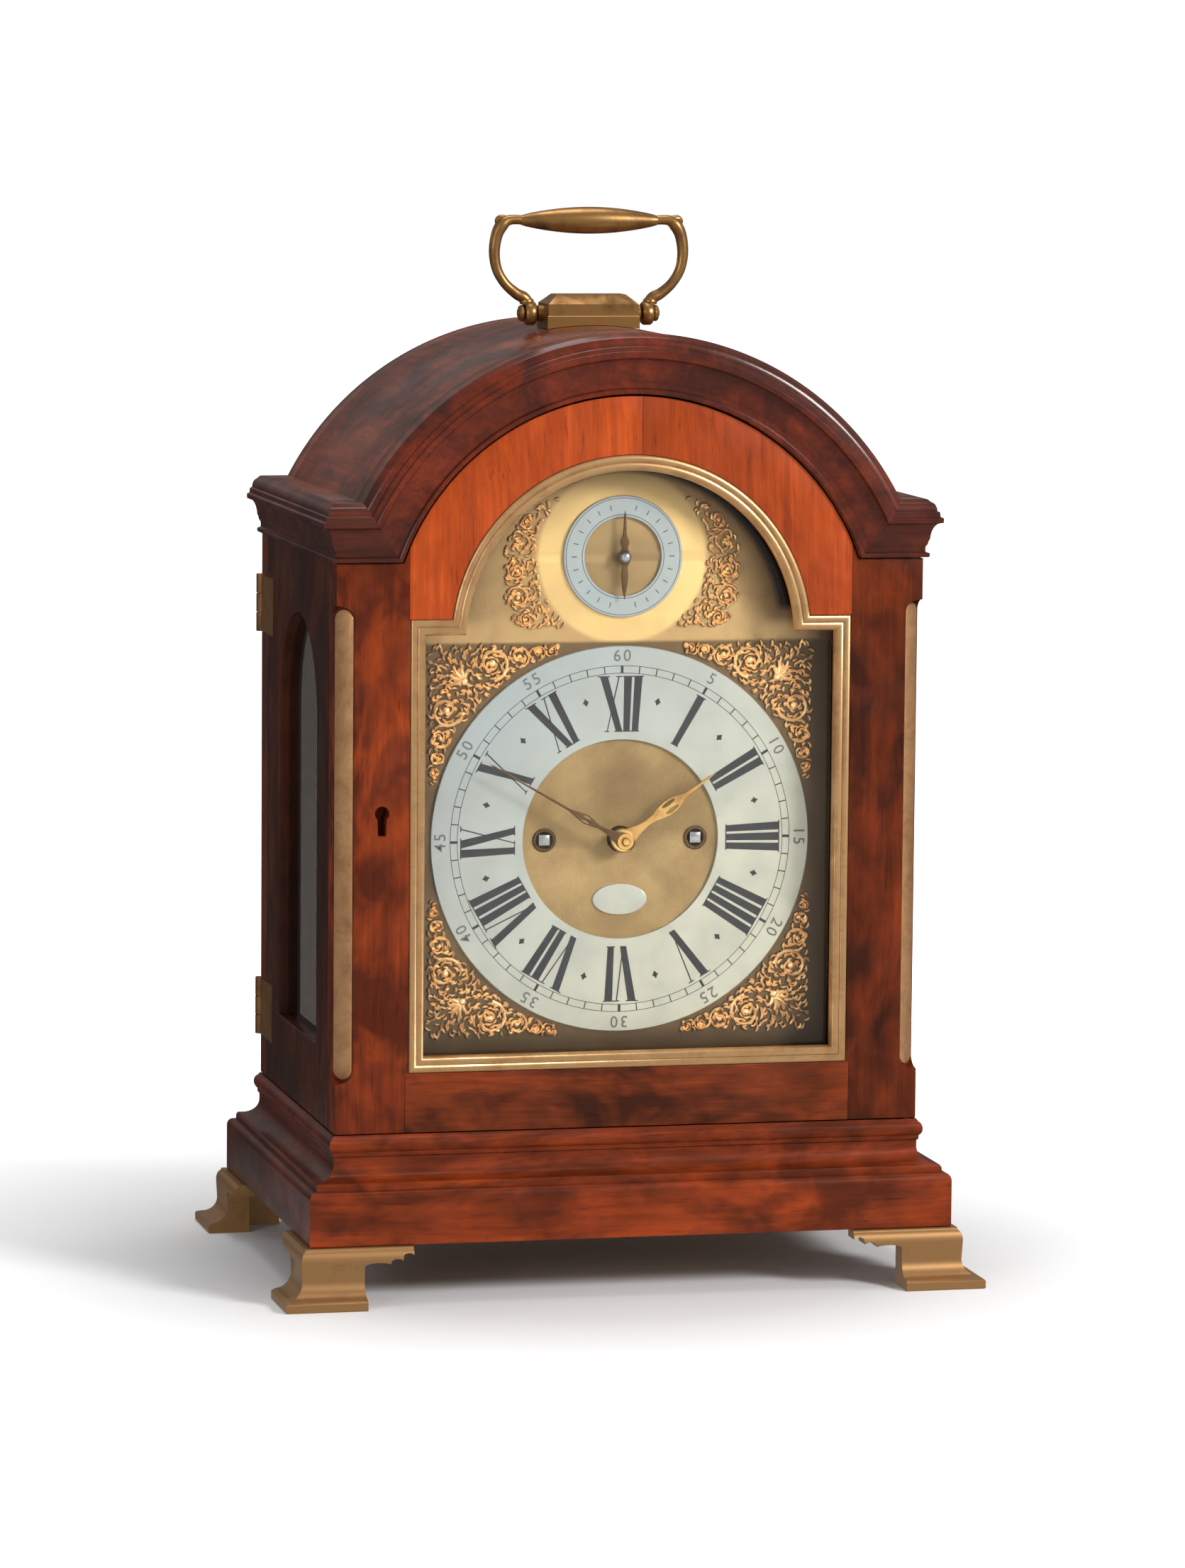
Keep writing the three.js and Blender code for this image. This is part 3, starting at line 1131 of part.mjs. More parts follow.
function pendulum() {
  const rodY = backPlateBackY + pendulumSetback;
  const arbor = rod(arborRadius, 'y', frontPlateY + pivotShort, rodY + 1, 0, vergeHeight);
  const anchorY = backPlateY - 12;
  const anchor = acrossY(shapeOf([
    [-3, vergeHeight + 3], [3, vergeHeight + 3], [14, vergeHeight - 6.5], [13.4, vergeHeight - 13],
    [11.6, vergeHeight - 13], [11, vergeHeight - 7.5], [0, vergeHeight - 3.4],
    [-11, vergeHeight - 7.5], [-11.6, vergeHeight - 13], [-13.4, vergeHeight - 13],
    [-14, vergeHeight - 6.5]]), anchorY, anchorY + 1.6);
  const low = vergeHeight - pendulumLength;
  const stem = rod(1, 'z', low - bobRadius - 3, vergeHeight - 0.5, 0, rodY, 6);
  const half = bobHalfThickness;
  const bob = turned([[0, -half], [bobRadius * 0.6, -half * 0.8], [bobRadius, -half * 0.18],
    [bobRadius, half * 0.18], [bobRadius * 0.6, half * 0.8], [0, half]], 'y', 0, rodY, low, 14);
  const nut = rod(3, 'z', low - bobRadius - 4.5, low - bobRadius - 1, 0, rodY);
  const collar = rod(3, 'y', rodY - 3, rodY + 2.5, 0, vergeHeight);
  return joined(arbor, anchor, stem, bob, nut, collar);
}

// Bridge over the back end of the verge arbor, screwed to the back plate.
function backCock() {
  const y = backPlateBackY + seat;
  const bridgeFront = y + 5;
  const legs = [-1, 1].map((sx) => block(...ordered(sx * 12, sx * 20), y, bridgeFront + 2.5,
    vergeHeight - 4, vergeHeight + 4));
  const bridge = block(-20, 20, bridgeFront, bridgeFront + 2.5, vergeHeight - 4, vergeHeight + 4);
  return cut(joined(bridge, ...legs),
    rod(arborRadius + pivotGap, 'y', y - 1, bridgeFront + 4, 0, vergeHeight));
}

function bell() {
  const outer = [[0, bellHeight]];
  const inner = [];
  for (let i = 1; i <= 5; i += 1) {
    const t = i / 5;
    const radius = bellRadius * Math.sin(Math.PI / 2 * t) ** 0.9;
    const z = bellHeight * Math.cos(Math.PI / 2 * t) ** 0.8;
    outer.push([radius, z]);
    if (i < 5) inner.unshift([radius - bellWall * t, z - bellWall]);
  }
  inner.unshift([bellRadius - bellWall, 0]);
  const solid = turned([...outer, ...inner.filter(([, z]) => z >= 0), [0, bellHeight - bellWall]],
    'z', 0, bellY, bellMouth, 18);
  return cut(solid, rod(2.2, 'z', bellMouth, bellMouth + bellHeight + 2, 0, bellY, 8));
}

// Steel stand that rises from the back plate and comes forward over the bell.
function bellStand() {
  const y = backPlateBackY + seat;
  const crown = bellMouth + bellHeight;
  const armLow = crown + standRise;
  const armTop = armLow + standThickness;
  const outer = standOffset + standWidth;
  const post = block(standOffset, outer, y, y + standThickness, plateTop - standLap, armTop);
  const arm = block(-standWidth / 1.5, outer, bellY - standWidth / 1.5, y + standThickness,
    armLow, armTop);
  const washer = bellScrewRadius * 2.5;
  const screw = turned([[0, -6], [bellScrewRadius, -6], [bellScrewRadius, seat], [washer, seat],
    [washer, standRise + 1], [0, standRise + 1]], 'z', 0, bellY, crown, 8);
  const nutTop = crown - bellWall - 2.2;
  const nut = rod(washer, 'z', nutTop - 2.8, nutTop, 0, bellY, 8);
  return joined(post, arm, screw, nut);
}

function hammer() {
  const arbor = rod(arborRadius, 'y', frontPlateY + pivotShort, backPlateBackY - pivotShort,
    hammerX, hammerHeight);
  const half = hammerStemWidth / 2;
  const stem = block(hammerX - half, hammerX + half, bellY - 1.5, bellY + 1.5, hammerHeight - 2,
    bellMouth);
  const face = bellRadius + hammerHeadGap;
  const head = rod(hammerHeadRadius, 'x', face, face + hammerHeadLength, bellY, bellMouth + 1.5, 12);
  return joined(arbor, stem, head);
}

function seatboard() {
  const x = sideInnerX - fit;
  return block(-x, x, frontPlateY - seatboardOverhang, backPlateBackY + seatboardOverhang,
    seatboardBottom, seatboardTop);
}

// ---------- assembly ----------
const group = new THREE.Group();

function place(name, solid, material) {
  const mesh = new THREE.Mesh(toGeometry(solid), material);
  mesh.name = name;
  group.add(mesh);
}

place('plinth', plinth(), mahogany);
place('base_board', baseBoard(), oak);
for (const [name, sx, sy] of [['foot_front_left', -1, -1], ['foot_front_right', 1, -1],
  ['foot_rear_left', -1, 1], ['foot_rear_right', 1, 1]]) place(name, foot(sx, sy), castBrass);
place('side_left', side(-1), mahoganyDark);
place('side_right', side(1), mahoganyDark);
place('side_glass_left', sideGlass(-1), glass);
place('side_glass_right', sideGlass(1), glass);
place('roof', roof(), mahogany);
place('arch_moulding', archMoulding(), mahogany);
place('shoulder_moulding_left', shoulderMoulding(-1), mahoganyDark);
place('shoulder_moulding_right', shoulderMoulding(1), mahoganyDark);
place('handle_pad', handlePad(), castBrass);
place('handle', handle(), castBrass);
place('front_hinge_upper', frontHinge(true), castBrass);
place('front_hinge_lower', frontHinge(false), castBrass);
place('front_door', frontDoor(), mahoganyBright);
place('door_glass', doorGlass(), glass);
place('sight_frame', sightFrame(), giltBrass);
place('corner_strip_left', cornerStrip(-1), castBrass);
place('corner_strip_right', cornerStrip(1), castBrass);
place('front_lock', frontLock(), castBrass);
place('lock_bolt', lockBolt(), steel);
place('rear_door', rearDoor(), mahoganyDark);
place('rear_glass', rearGlass(), glass);
place('rear_hinge_upper', buttFixed(buttUpper), castBrass);
place('rear_hinge_lower', buttFixed(buttLower), castBrass);
place('rear_leaf_upper', buttMoving(buttUpper), castBrass);
place('rear_leaf_lower', buttMoving(buttLower), castBrass);
place('rear_catch', rearCatch(), castBrass);
place('seatboard', seatboard(), oak);
place('dial_mask', dialMask(), mahoganyDark);
place('dial_plate', dialPlate(), dialBrass);
place('chapter_ring', ring(chapterOuter, chapterInner, dialCentre, 44), silvered);
place('strike_ring', ring(silentOuter, silentInner, silentHeight, 24), silvered);
for (const [name, sx, sz] of [['spandrel_upper_left', -1, 1], ['spandrel_upper_right', 1, 1],
  ['spandrel_lower_left', -1, -1], ['spandrel_lower_right', 1, -1]]) {
  place(name, spandrel(sx, sz), giltBrass);
}
place('arch_spandrel_left', archSpandrel(-1), giltBrass);
place('arch_spandrel_right', archSpandrel(1), giltBrass);
place('dial_plaque', dialPlaque(), silvered);
place('minute_hand', minuteHand(), giltBrass);
place('hour_hand', hourHand(), giltBrass);
place('silent_hand', silentHand(), giltBrass);
place('centre_wheel', centreWheel(), movementBrass);
place('front_plate', frontPlate(), movementBrass);
place('back_plate', backPlate(), movementBrass);
place('going_fusee', fusee(1), movementBrass);
place('strike_fusee', fusee(-1), movementBrass);
place('going_barrel', barrel(1), movementBrass);
place('strike_barrel', barrel(-1), movementBrass);
place('escape_wheel', escapeWheel(), movementBrass);
place('pendulum', pendulum(), movementBrass);
place('back_cock', backCock(), movementBrass);
place('bell', bell(), bellMetal);
place('bell_stand', bellStand(), steel);
place('hammer', hammer(), steel);

export default group;
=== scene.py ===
import math
import random

import bmesh
import bpy
from mathutils import Matrix, Vector


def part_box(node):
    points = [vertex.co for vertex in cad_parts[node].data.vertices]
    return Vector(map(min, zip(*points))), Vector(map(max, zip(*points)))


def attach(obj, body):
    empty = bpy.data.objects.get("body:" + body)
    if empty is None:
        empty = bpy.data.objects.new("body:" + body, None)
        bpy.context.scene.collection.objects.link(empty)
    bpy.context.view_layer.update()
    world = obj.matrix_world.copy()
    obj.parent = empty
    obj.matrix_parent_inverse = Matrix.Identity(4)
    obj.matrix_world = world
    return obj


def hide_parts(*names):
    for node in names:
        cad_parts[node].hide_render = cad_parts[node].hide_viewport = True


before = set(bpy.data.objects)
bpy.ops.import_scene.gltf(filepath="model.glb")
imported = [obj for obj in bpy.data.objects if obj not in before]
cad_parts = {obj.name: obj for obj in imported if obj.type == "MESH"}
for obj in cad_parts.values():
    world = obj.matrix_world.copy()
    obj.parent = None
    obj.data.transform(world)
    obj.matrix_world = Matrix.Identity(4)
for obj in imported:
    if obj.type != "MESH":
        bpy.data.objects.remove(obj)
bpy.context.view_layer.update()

# A break-arch bracket clock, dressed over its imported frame. Sizes are in millimetres, with
# the dial facing -Y, and what the frame can give is read from it.
mm = 0.001


def boxOf(node):
    low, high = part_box(node)
    return [v / mm for v in low], [v / mm for v in high]


sideBox = boxOf("side_left")
doorBox = boxOf("front_door")
rearBox = boxOf("rear_door")
plinthBox = boxOf("plinth")
shoulderBox = boxOf("shoulder_moulding_left")
archBox = boxOf("arch_moulding")
ringBox = boxOf("chapter_ring")
strikeBox = boxOf("strike_ring")
plateBox = boxOf("dial_plate")

clock = {
    "halfWidth": -sideBox[0][0],
    "frontY": doorBox[0][1],
    "rearY": rearBox[1][1],
    "plinthTop": plinthBox[1][2],
    "plinthHalfX": plinthBox[1][0],
    "plinthHalfY": plinthBox[1][1],
    "footTop": plinthBox[0][2],
    "shoulderLow": shoulderBox[0][2],
    "shoulderTop": shoulderBox[1][2],
    "archCentre": 267.5,
    "archMoulding": 24.7,
    "apertureCentre": 269.0,
    "dialCentre": (ringBox[0][2] + ringBox[1][2]) / 2,
    "strikeCentre": (strikeBox[0][2] + strikeBox[1][2]) / 2,
    "dialFace": ringBox[1][1] - 0.05,
    "ringFace": ringBox[0][1],
}
clock["archOuter"] = archBox[1][2] - clock["archCentre"]
clock["archInner"] = clock["archOuter"] - clock["archMoulding"]


# shader helpers

def shade(red, green, blue):
    # a colour as it looks on screen, 0 to 255, for a shader
    def linear(value):
        value /= 255
        return value / 12.92 if value <= 0.04045 else ((value + 0.055) / 1.055) ** 2.4
    return (linear(red), linear(green), linear(blue), 1.0)


def feed(tree, socket, value):
    if isinstance(value, bpy.types.NodeSocket):
        tree.links.new(value, socket)
    elif value is not None:
        socket.default_value = value


def calc(tree, operation, a, b=0.0, clamp=False):
    made = tree.nodes.new("ShaderNodeMath")
    made.operation = operation
    made.use_clamp = clamp
    feed(tree, made.inputs[0], a)
    feed(tree, made.inputs[1], b)
    return made.outputs[0]


def between(tree, value, low, high, toLow=0.0, toHigh=1.0):
    made = tree.nodes.new("ShaderNodeMapRange")
    made.clamp = True
    feed(tree, made.inputs["Value"], value)
    for name, number in (("From Min", low), ("From Max", high), ("To Min", toLow), ("To Max", toHigh)):
        feed(tree, made.inputs[name], number)
    return made.outputs["Result"]


def mixColour(tree, factor, a, b):
    made = tree.nodes.new("ShaderNodeMix")
    made.data_type = "RGBA"
    feed(tree, made.inputs[0], factor)
    feed(tree, made.inputs[6], a)
    feed(tree, made.inputs[7], b)
    return made.outputs[2]


def noise(tree, vector, scale, detail=2.0, roughness=0.5, distortion=0.0):
    made = tree.nodes.new("ShaderNodeTexNoise")
    feed(tree, made.inputs["Vector"], vector)
    feed(tree, made.inputs["Scale"], scale)
    feed(tree, made.inputs["Detail"], detail)
    feed(tree, made.inputs["Roughness"], roughness)
    feed(tree, made.inputs["Distortion"], distortion)
    return made.outputs["Fac"]


def mapped(tree, vector, scale=(1, 1, 1), turn=(0, 0, 0), move=(0, 0, 0)):
    made = tree.nodes.new("ShaderNodeMapping")
    feed(tree, made.inputs["Vector"], vector)
    made.inputs["Scale"].default_value = scale
    made.inputs["Rotation"].default_value = [math.radians(a) for a in turn]
    made.inputs["Location"].default_value = move
    return made.outputs[0]


def objectPlace(tree):
    return tree.nodes.new("ShaderNodeTexCoord").outputs["Object"]


def parts(tree, vector):
    made = tree.nodes.new("ShaderNodeSeparateXYZ")
    feed(tree, made.inputs[0], vector)
    return made.outputs


def newGroup(name, inputs, outputs):
    group = bpy.data.node_groups.new(name, "ShaderNodeTree")
    kinds = {"color": "NodeSocketColor", "float": "NodeSocketFloat", "vector": "NodeSocketVector"}
    for label, kind in inputs:
        group.interface.new_socket(name=label, in_out="INPUT", socket_type=kinds[kind])
    for label, kind in outputs:
        group.interface.new_socket(name=label, in_out="OUTPUT", socket_type=kinds[kind])
    return group, group.nodes.new("NodeGroupInput").outputs, group.nodes.new("NodeGroupOutput").inputs


def placeGroup(tree, group, **values):
    made = tree.nodes.new("ShaderNodeGroup")
    made.node_tree = group
    for label, value in values.items():
        feed(tree, made.inputs[label], value)
    return made.outputs


def newMaterial(name):
    material = bpy.data.materials.new(name)
    material.use_nodes = True
    tree = material.node_tree
    return material, tree, tree.nodes["Principled BSDF"]


def bump(tree, height, distance, strength=1.0):
    made = tree.nodes.new("ShaderNodeBump")
    feed(tree, made.inputs["Height"], height)
    made.inputs["Distance"].default_value = distance
    made.inputs["Strength"].default_value = strength
    return made.outputs[0]


def scaled(tree, vector, factor):
    made = tree.nodes.new("ShaderNodeVectorMath")
    made.operation = "SCALE"
    feed(tree, made.inputs[0], vector)
    feed(tree, made.inputs["Scale"], factor)
    return made.outputs[0]


def lengthOf(tree, vector):
    made = tree.nodes.new("ShaderNodeVectorMath")
    made.operation = "LENGTH"
    feed(tree, made.inputs[0], vector)
    return made.outputs["Value"]


def mixShaders(tree, factor, first, second):
    mixer = tree.nodes.new("ShaderNodeMixShader")
    feed(tree, mixer.inputs[0], factor)
    feed(tree, mixer.inputs[1], first)
    feed(tree, mixer.inputs[2], second)
    feed(tree, tree.nodes["Material Output"].inputs["Surface"], mixer.outputs[0])


# effects that several finishes share

grainLook = {  # noise scales, coarse to fine, and what each one does to the tone
    "wander": 9.0, "sway": 0.035, "figure": 24.0, "curl": 95.0, "curlShare": 0.28, "bands": 150.0,
    "fibres": 620.0, "fibreTone": (0.8, 1.14), "pores": 1500.0, "poreTone": 0.62, "handled": 38.0,
    "roughness": (0.24, 0.42),
}


def makeWoodGrain():
    # grain runs along the vector's Z
    group, given, out = newGroup("woodGrain", [
        ("Vector", "vector"), ("Light", "color"), ("Dark", "color"), ("Streak", "color"),
        ("Figure", "float"), ("Streaking", "float")],
        [("Color", "color"), ("Height", "float"), ("Roughness", "float")])
    place = given["Vector"]
    look = grainLook
    shifted = group.nodes.new("ShaderNodeVectorMath")
    shifted.operation = "MULTIPLY_ADD"
    feed(group, shifted.inputs[0], noise(group, mapped(group, place, (1, 1, 0.45)), look["wander"]))
    shifted.inputs[1].default_value = (look["sway"], look["sway"], 0.0)
    feed(group, shifted.inputs[2], place)
    along = shifted.outputs[0]
    broad = noise(group, mapped(group, along, (1, 1, 0.5)), look["figure"], 3.0, 0.6, 1.1)
    curl = noise(group, mapped(group, along, (1, 1, 0.6)), look["curl"], 2.0, 0.55, 0.6)
    figure = calc(group, "ADD", calc(group, "MULTIPLY", broad, 1 - look["curlShare"]),
                  calc(group, "MULTIPLY", curl, look["curlShare"]))
    figure = between(group, figure, 0.4, 0.6)
    bands = noise(group, mapped(group, along, (1, 1, 0.07)), look["bands"], 4.0, 0.6, 0.3)
    bands = between(group, bands, 0.36, 0.66)
    fibres = noise(group, mapped(group, along, (1, 1, 0.03)), look["fibres"], 3.0, 0.65)
    pores = noise(group, mapped(group, along, (1, 1, 0.045)), look["pores"])
    pores = between(group, pores, 0.62, 0.74)
    tone = mixColour(group, calc(group, "MULTIPLY", figure, given["Figure"], True),
                     given["Light"], given["Dark"])
    tone = mixColour(group, calc(group, "MULTIPLY", bands, given["Streaking"], True),
                     tone, given["Streak"])
    tone = scaled(group, tone, between(group, fibres, 0.3, 0.7, *look["fibreTone"]))
    tone = scaled(group, tone, between(group, pores, 0.0, 1.0, 1.0, look["poreTone"]))
    feed(group, out["Color"], tone)
    feed(group, out["Height"], calc(group, "SUBTRACT", calc(group, "MULTIPLY", fibres, 0.4), pores))
    handled = noise(group, place, look["handled"], 3.0, 0.6)
    feed(group, out["Roughness"], between(group, handled, 0.35, 0.7, *look["roughness"]))
    return group


metalAge = {"cloud": 70.0, "speck": 520.0, "speckShare": 0.25, "edgeBright": 0.6, "dullRoughness": 0.28}


def makeAgedMetal():
    # bright metal that dulls in patches and in its hollows; Edge is high on worn edges
    group, given, out = newGroup("agedMetal", [
        ("Vector", "vector"), ("Bright", "color"), ("Tarnish", "color"), ("Patches", "float"),
        ("Edge", "float"), ("Polish", "float")],
        [("Color", "color"), ("Height", "float"), ("Roughness", "float")])
    place = given["Vector"]
    cloud = noise(group, place, metalAge["cloud"], 4.0, 0.6, 0.4)
    speck = noise(group, place, metalAge["speck"], 3.0, 0.6)
    dulledAndShaded = calc(group, "MULTIPLY", between(group, cloud, 0.38, 0.68), given["Patches"], True)
    specks = between(group, speck, 0.6, 0.72, 0.0, metalAge["speckShare"])
    dulledAndShaded = calc(group, "ADD", dulledAndShaded, specks, True)
    worn = calc(group, "MULTIPLY", between(group, given["Edge"], 0.5, 0.58), metalAge["edgeBright"])
    dulledAndShaded = calc(group, "SUBTRACT", dulledAndShaded, worn, True)
    feed(group, out["Color"], mixColour(group, dulledAndShaded, given["Bright"], given["Tarnish"]))
    feed(group, out["Height"], calc(group, "ADD", speck, calc(group, "MULTIPLY", cloud, 0.5)))
    rough = calc(group, "MULTIPLY", dulledAndShaded, metalAge["dullRoughness"])
    feed(group, out["Roughness"], calc(group, "ADD", rough, given["Polish"]))
    return group


def makeFineScratches():
    group, given, out = newGroup("fineScratches", [("Vector", "vector"), ("Turn", "float")],
                                 [("Height", "float")])
    turned = group.nodes.new("ShaderNodeVectorRotate")
    turned.rotation_type = "Y_AXIS"
    feed(group, turned.inputs["Vector"], given["Vector"])
    feed(group, turned.inputs["Angle"], given["Turn"])
    feed(group, out["Height"], noise(group, mapped(group, turned.outputs[0], (1, 1, 0.02)), 2400.0))
    return group


woodGrain = makeWoodGrain()
agedMetal = makeAgedMetal()
fineScratches = makeFineScratches()


# finishes; colours are as they look on screen

polishLook = {"coatRoughness": 0.12, "ior": 1.48, "relief": 0.00012, "reliefStrength": 0.25}


def polishedWood(name, look):
    # turn brings the piece's grain onto Z, polish is the coat and gloss the bare wood's shine
    material, tree, shader = newMaterial(name)
    place = mapped(tree, objectPlace(tree), (1, 1, 1), look.get("turn", (0, 0, 0)),
                   look.get("move", (0, 0, 0)))
    grain = placeGroup(tree, woodGrain, Vector=place, Light=shade(*look["light"]),
                       Dark=shade(*look["dark"]), Streak=shade(*look["streak"]),
                       Figure=look["figure"], Streaking=look["streaking"])
    feed(tree, shader.inputs["Base Color"], grain["Color"])
    feed(tree, shader.inputs["Roughness"], grain["Roughness"])
    feed(tree, shader.inputs["Normal"],
         bump(tree, grain["Height"], polishLook["relief"], polishLook["reliefStrength"]))
    shader.inputs["Coat Weight"].default_value = look.get("polish", 0.1)
    shader.inputs["Coat Roughness"].default_value = polishLook["coatRoughness"]
    shader.inputs["Specular IOR Level"].default_value = look.get("gloss", 0.16)
    shader.inputs["IOR"].default_value = polishLook["ior"]
    return material


woods = {
    "archRail": {"light": (196, 82, 28), "dark": (154, 58, 20), "streak": (120, 44, 17),
                 "figure": 0.75, "streaking": 0.4, "move": (0.3, 0.1, 0.2)},
    "archRailRight": {"light": (184, 76, 27), "dark": (145, 57, 20), "streak": (112, 42, 17),
                      "figure": 0.75, "streaking": 0.4, "move": (0.7, 0.4, 0.9)},
    "stileLeft": {"light": (158, 63, 20), "dark": (84, 31, 12), "streak": (76, 29, 12),
                  "figure": 1.0, "streaking": 0.4, "move": (0.2, 0.6, 0.05)},
    "stileRight": {"light": (122, 47, 13), "dark": (58, 23, 8), "streak": (56, 22, 8),
                   "figure": 1.0, "streaking": 0.4, "move": (0.9, 0.1, 0.4)},
    "bottomRail": {"light": (134, 56, 22), "dark": (62, 27, 12), "streak": (58, 26, 12),
                   "figure": 1.0, "streaking": 0.35, "turn": (0, 90, 0), "move": (0.1, 0.2, 0.7)},
    "plinth": {"light": (158, 62, 22), "dark": (80, 32, 13), "streak": (70, 28, 12),
               "figure": 0.9, "streaking": 0.5, "turn": (0, 90, 0)},
    "plinthSide": {"light": (108, 44, 24), "dark": (56, 26, 18), "streak": (52, 24, 16),
                   "figure": 0.7, "streaking": 0.5, "turn": (90, 0, 0), "gloss": 0.12, "polish": 0.16},
    "side": {"light": (88, 44, 28), "dark": (50, 27, 20), "streak": (46, 25, 19),
             "figure": 0.8, "streaking": 0.5, "move": (0.5, 0.2, 0.1), "gloss": 0.12},
    "roof": {"light": (150, 72, 44), "dark": (78, 37, 25), "streak": (66, 31, 22),
             "figure": 0.9, "streaking": 0.5, "turn": (90, 0, 0), "polish": 0.3},
    "moulding": {"light": (118, 42, 16), "dark": (56, 22, 12), "streak": (52, 20, 11),
                 "figure": 0.8, "streaking": 0.5, "turn": (90, 0, 0), "polish": 0.5},
    "shoulder": {"light": (100, 42, 24), "dark": (54, 24, 17), "streak": (50, 22, 15),
                 "figure": 0.8, "streaking": 0.5, "turn": (0, 90, 0), "polish": 0.35},
    "rearDoor": {"light": (112, 50, 30), "dark": (66, 30, 24), "streak": (70, 32, 24),
                 "figure": 0.7, "streaking": 0.5, "move": (0.4, 0.9, 0.3)},
    "mask": {"light": (60, 36, 26), "dark": (34, 22, 18), "streak": (40, 24, 20),
             "figure": 0.6, "streaking": 0.4, "polish": 0.05, "gloss": 0.1},
    "oak": {"light": (150, 114, 76), "dark": (112, 80, 50), "streak": (96, 66, 42),
            "figure": 0.6, "streaking": 0.6, "turn": (0, 90, 0), "polish": 0.0},
}
wood = {name: polishedWood(name + "Wood", look) for name, look in woods.items()}


def metal(name, look):
    material, tree, shader = newMaterial(name)
    place = objectPlace(tree)
    edge = tree.nodes.new("ShaderNodeNewGeometry").outputs["Pointiness"] if look.get("wear") else 0.5
    aged = placeGroup(tree, agedMetal, Vector=place, Bright=shade(*look["bright"]),
                      Tarnish=shade(*look["tarnish"]), Patches=look["patches"], Edge=edge,
                      Polish=look["rough"])
    feed(tree, shader.inputs["Base Color"], aged["Color"])
    feed(tree, shader.inputs["Roughness"], aged["Roughness"])
    shader.inputs["Metallic"].default_value = look.get("metallic", 0.9)
    height = aged["Height"]
    if look.get("scratched"):
        lines = placeGroup(tree, fineScratches, Vector=place, Turn=look["scratched"])
        height = calc(tree, "ADD", height, lines["Height"])
    feed(tree, shader.inputs["Normal"], bump(tree, height, 0.00006, 0.4))
    return material


metals = {
    "castBrass": {"bright": (160, 118, 68), "tarnish": (82, 56, 30), "patches": 0.9,
                  "rough": 0.3, "wear": True, "metallic": 0.75},
    "footBrass": {"bright": (164, 122, 76), "tarnish": (112, 80, 48), "patches": 0.75,
                  "rough": 0.4, "wear": True, "metallic": 0.6},
    "sightBrass": {"bright": (214, 168, 116), "tarnish": (138, 96, 58), "patches": 0.6,
                   "rough": 0.28, "wear": True, "metallic": 0.7},
    "stripBrass": {"bright": (204, 154, 106), "tarnish": (136, 94, 60), "patches": 0.75,
                   "rough": 0.34, "scratched": 0.02, "metallic": 0.6},
    "hingeBrass": {"bright": (158, 114, 70), "tarnish": (92, 62, 38), "patches": 0.8,
                   "rough": 0.36, "metallic": 0.7},
    "handBrass": {"bright": (206, 160, 92), "tarnish": (96, 68, 36), "patches": 0.7,
                  "rough": 0.26, "metallic": 0.8},
    "movementBrass": {"bright": (222, 184, 112), "tarnish": (164, 124, 68), "patches": 0.45,
                      "rough": 0.26, "scratched": 0.35},
    "bellMetal": {"bright": (214, 198, 150), "tarnish": (144, 122, 84), "patches": 0.5,
                  "rough": 0.24},
    "steel": {"bright": (150, 150, 148), "tarnish": (96, 90, 84), "patches": 0.4,
              "rough": 0.24, "scratched": 0.1},
    "darkBrass": {"bright": (92, 68, 40), "tarnish": (48, 35, 21), "patches": 0.6,
                  "rough": 0.4},
}
metalOf = {name: metal(name, look) for name, look in metals.items()}


giltLook = {
    # gap is painted shade in the hollows next to the plate
    "bright": (246, 204, 148), "tarnish": (182, 128, 78), "gap": (74, 48, 27),
    "gapShadeDepth": 0.35, "highDepth": 1.05,  # out from the dial plate
}


def spandrelMetal():
    # gilt on the high places, with painted shade in the gaps next to the plate
    material, tree, shader = newMaterial("spandrelGilt")
    place = objectPlace(tree)
    high = between(tree, parts(tree, place)["Y"], (clock["dialFace"] - giltLook["gapShadeDepth"]) * mm,
                   (clock["dialFace"] - giltLook["highDepth"]) * mm)
    edge = tree.nodes.new("ShaderNodeNewGeometry").outputs["Pointiness"]
    aged = placeGroup(tree, agedMetal, Vector=place, Bright=shade(*giltLook["bright"]),
                      Tarnish=shade(*giltLook["tarnish"]), Patches=0.5, Edge=edge, Polish=0.28)
    feed(tree, shader.inputs["Base Color"],
         mixColour(tree, high, shade(*giltLook["gap"]), aged["Color"]))
    feed(tree, shader.inputs["Roughness"], aged["Roughness"])
    shader.inputs["Metallic"].default_value = 0.7
    feed(tree, shader.inputs["Normal"], bump(tree, aged["Height"], 0.0001, 0.5))
    return material


# painted shade: tarnish darkens the corners (partly real tarnish), the sides, the foot and the plate near
# the arch frame; shadow is the sight frame's painted shadow, and shadePatch is painted shade above the
# centre
dialTones = {
    "plain": (178, 145, 96), "plainDull": (142, 112, 72), "centre": (160, 134, 88),
    "centreDull": (134, 108, 68), "shadePatch": (104, 80, 48), "matting": (108, 82, 48),
    "halo": (212, 178, 116), "strikeCentre": (146, 120, 80), "tarnish": (78, 58, 34),
    "shadow": (30, 23, 15),
}
dialEdges = {  # where each tone starts and where it is full, in millimetres
    "centreEdge": (42.5, 41.5), "shadePatchEdge": (17.0, 6.0), "shadePatchRise": 21.0,
    "haloEdge": (36.5, 34.5), "strikeEdge": (17.5, 16.5), "cornerShade": (78.5, 79.5),
    "sideShade": (82.5, 85.0),
    "archShadow": (65.8, 68.5), "archFrameShade": (50.0, 66.0), "shadowAbove": (278.0, 281.0),
    "frameShadeAbove": (272.0, 276.0),
    # heights from the middle of the dial
    "cornerShadeTop": (82.2, 80.8), "footShade": (-82.0, -84.5),
}


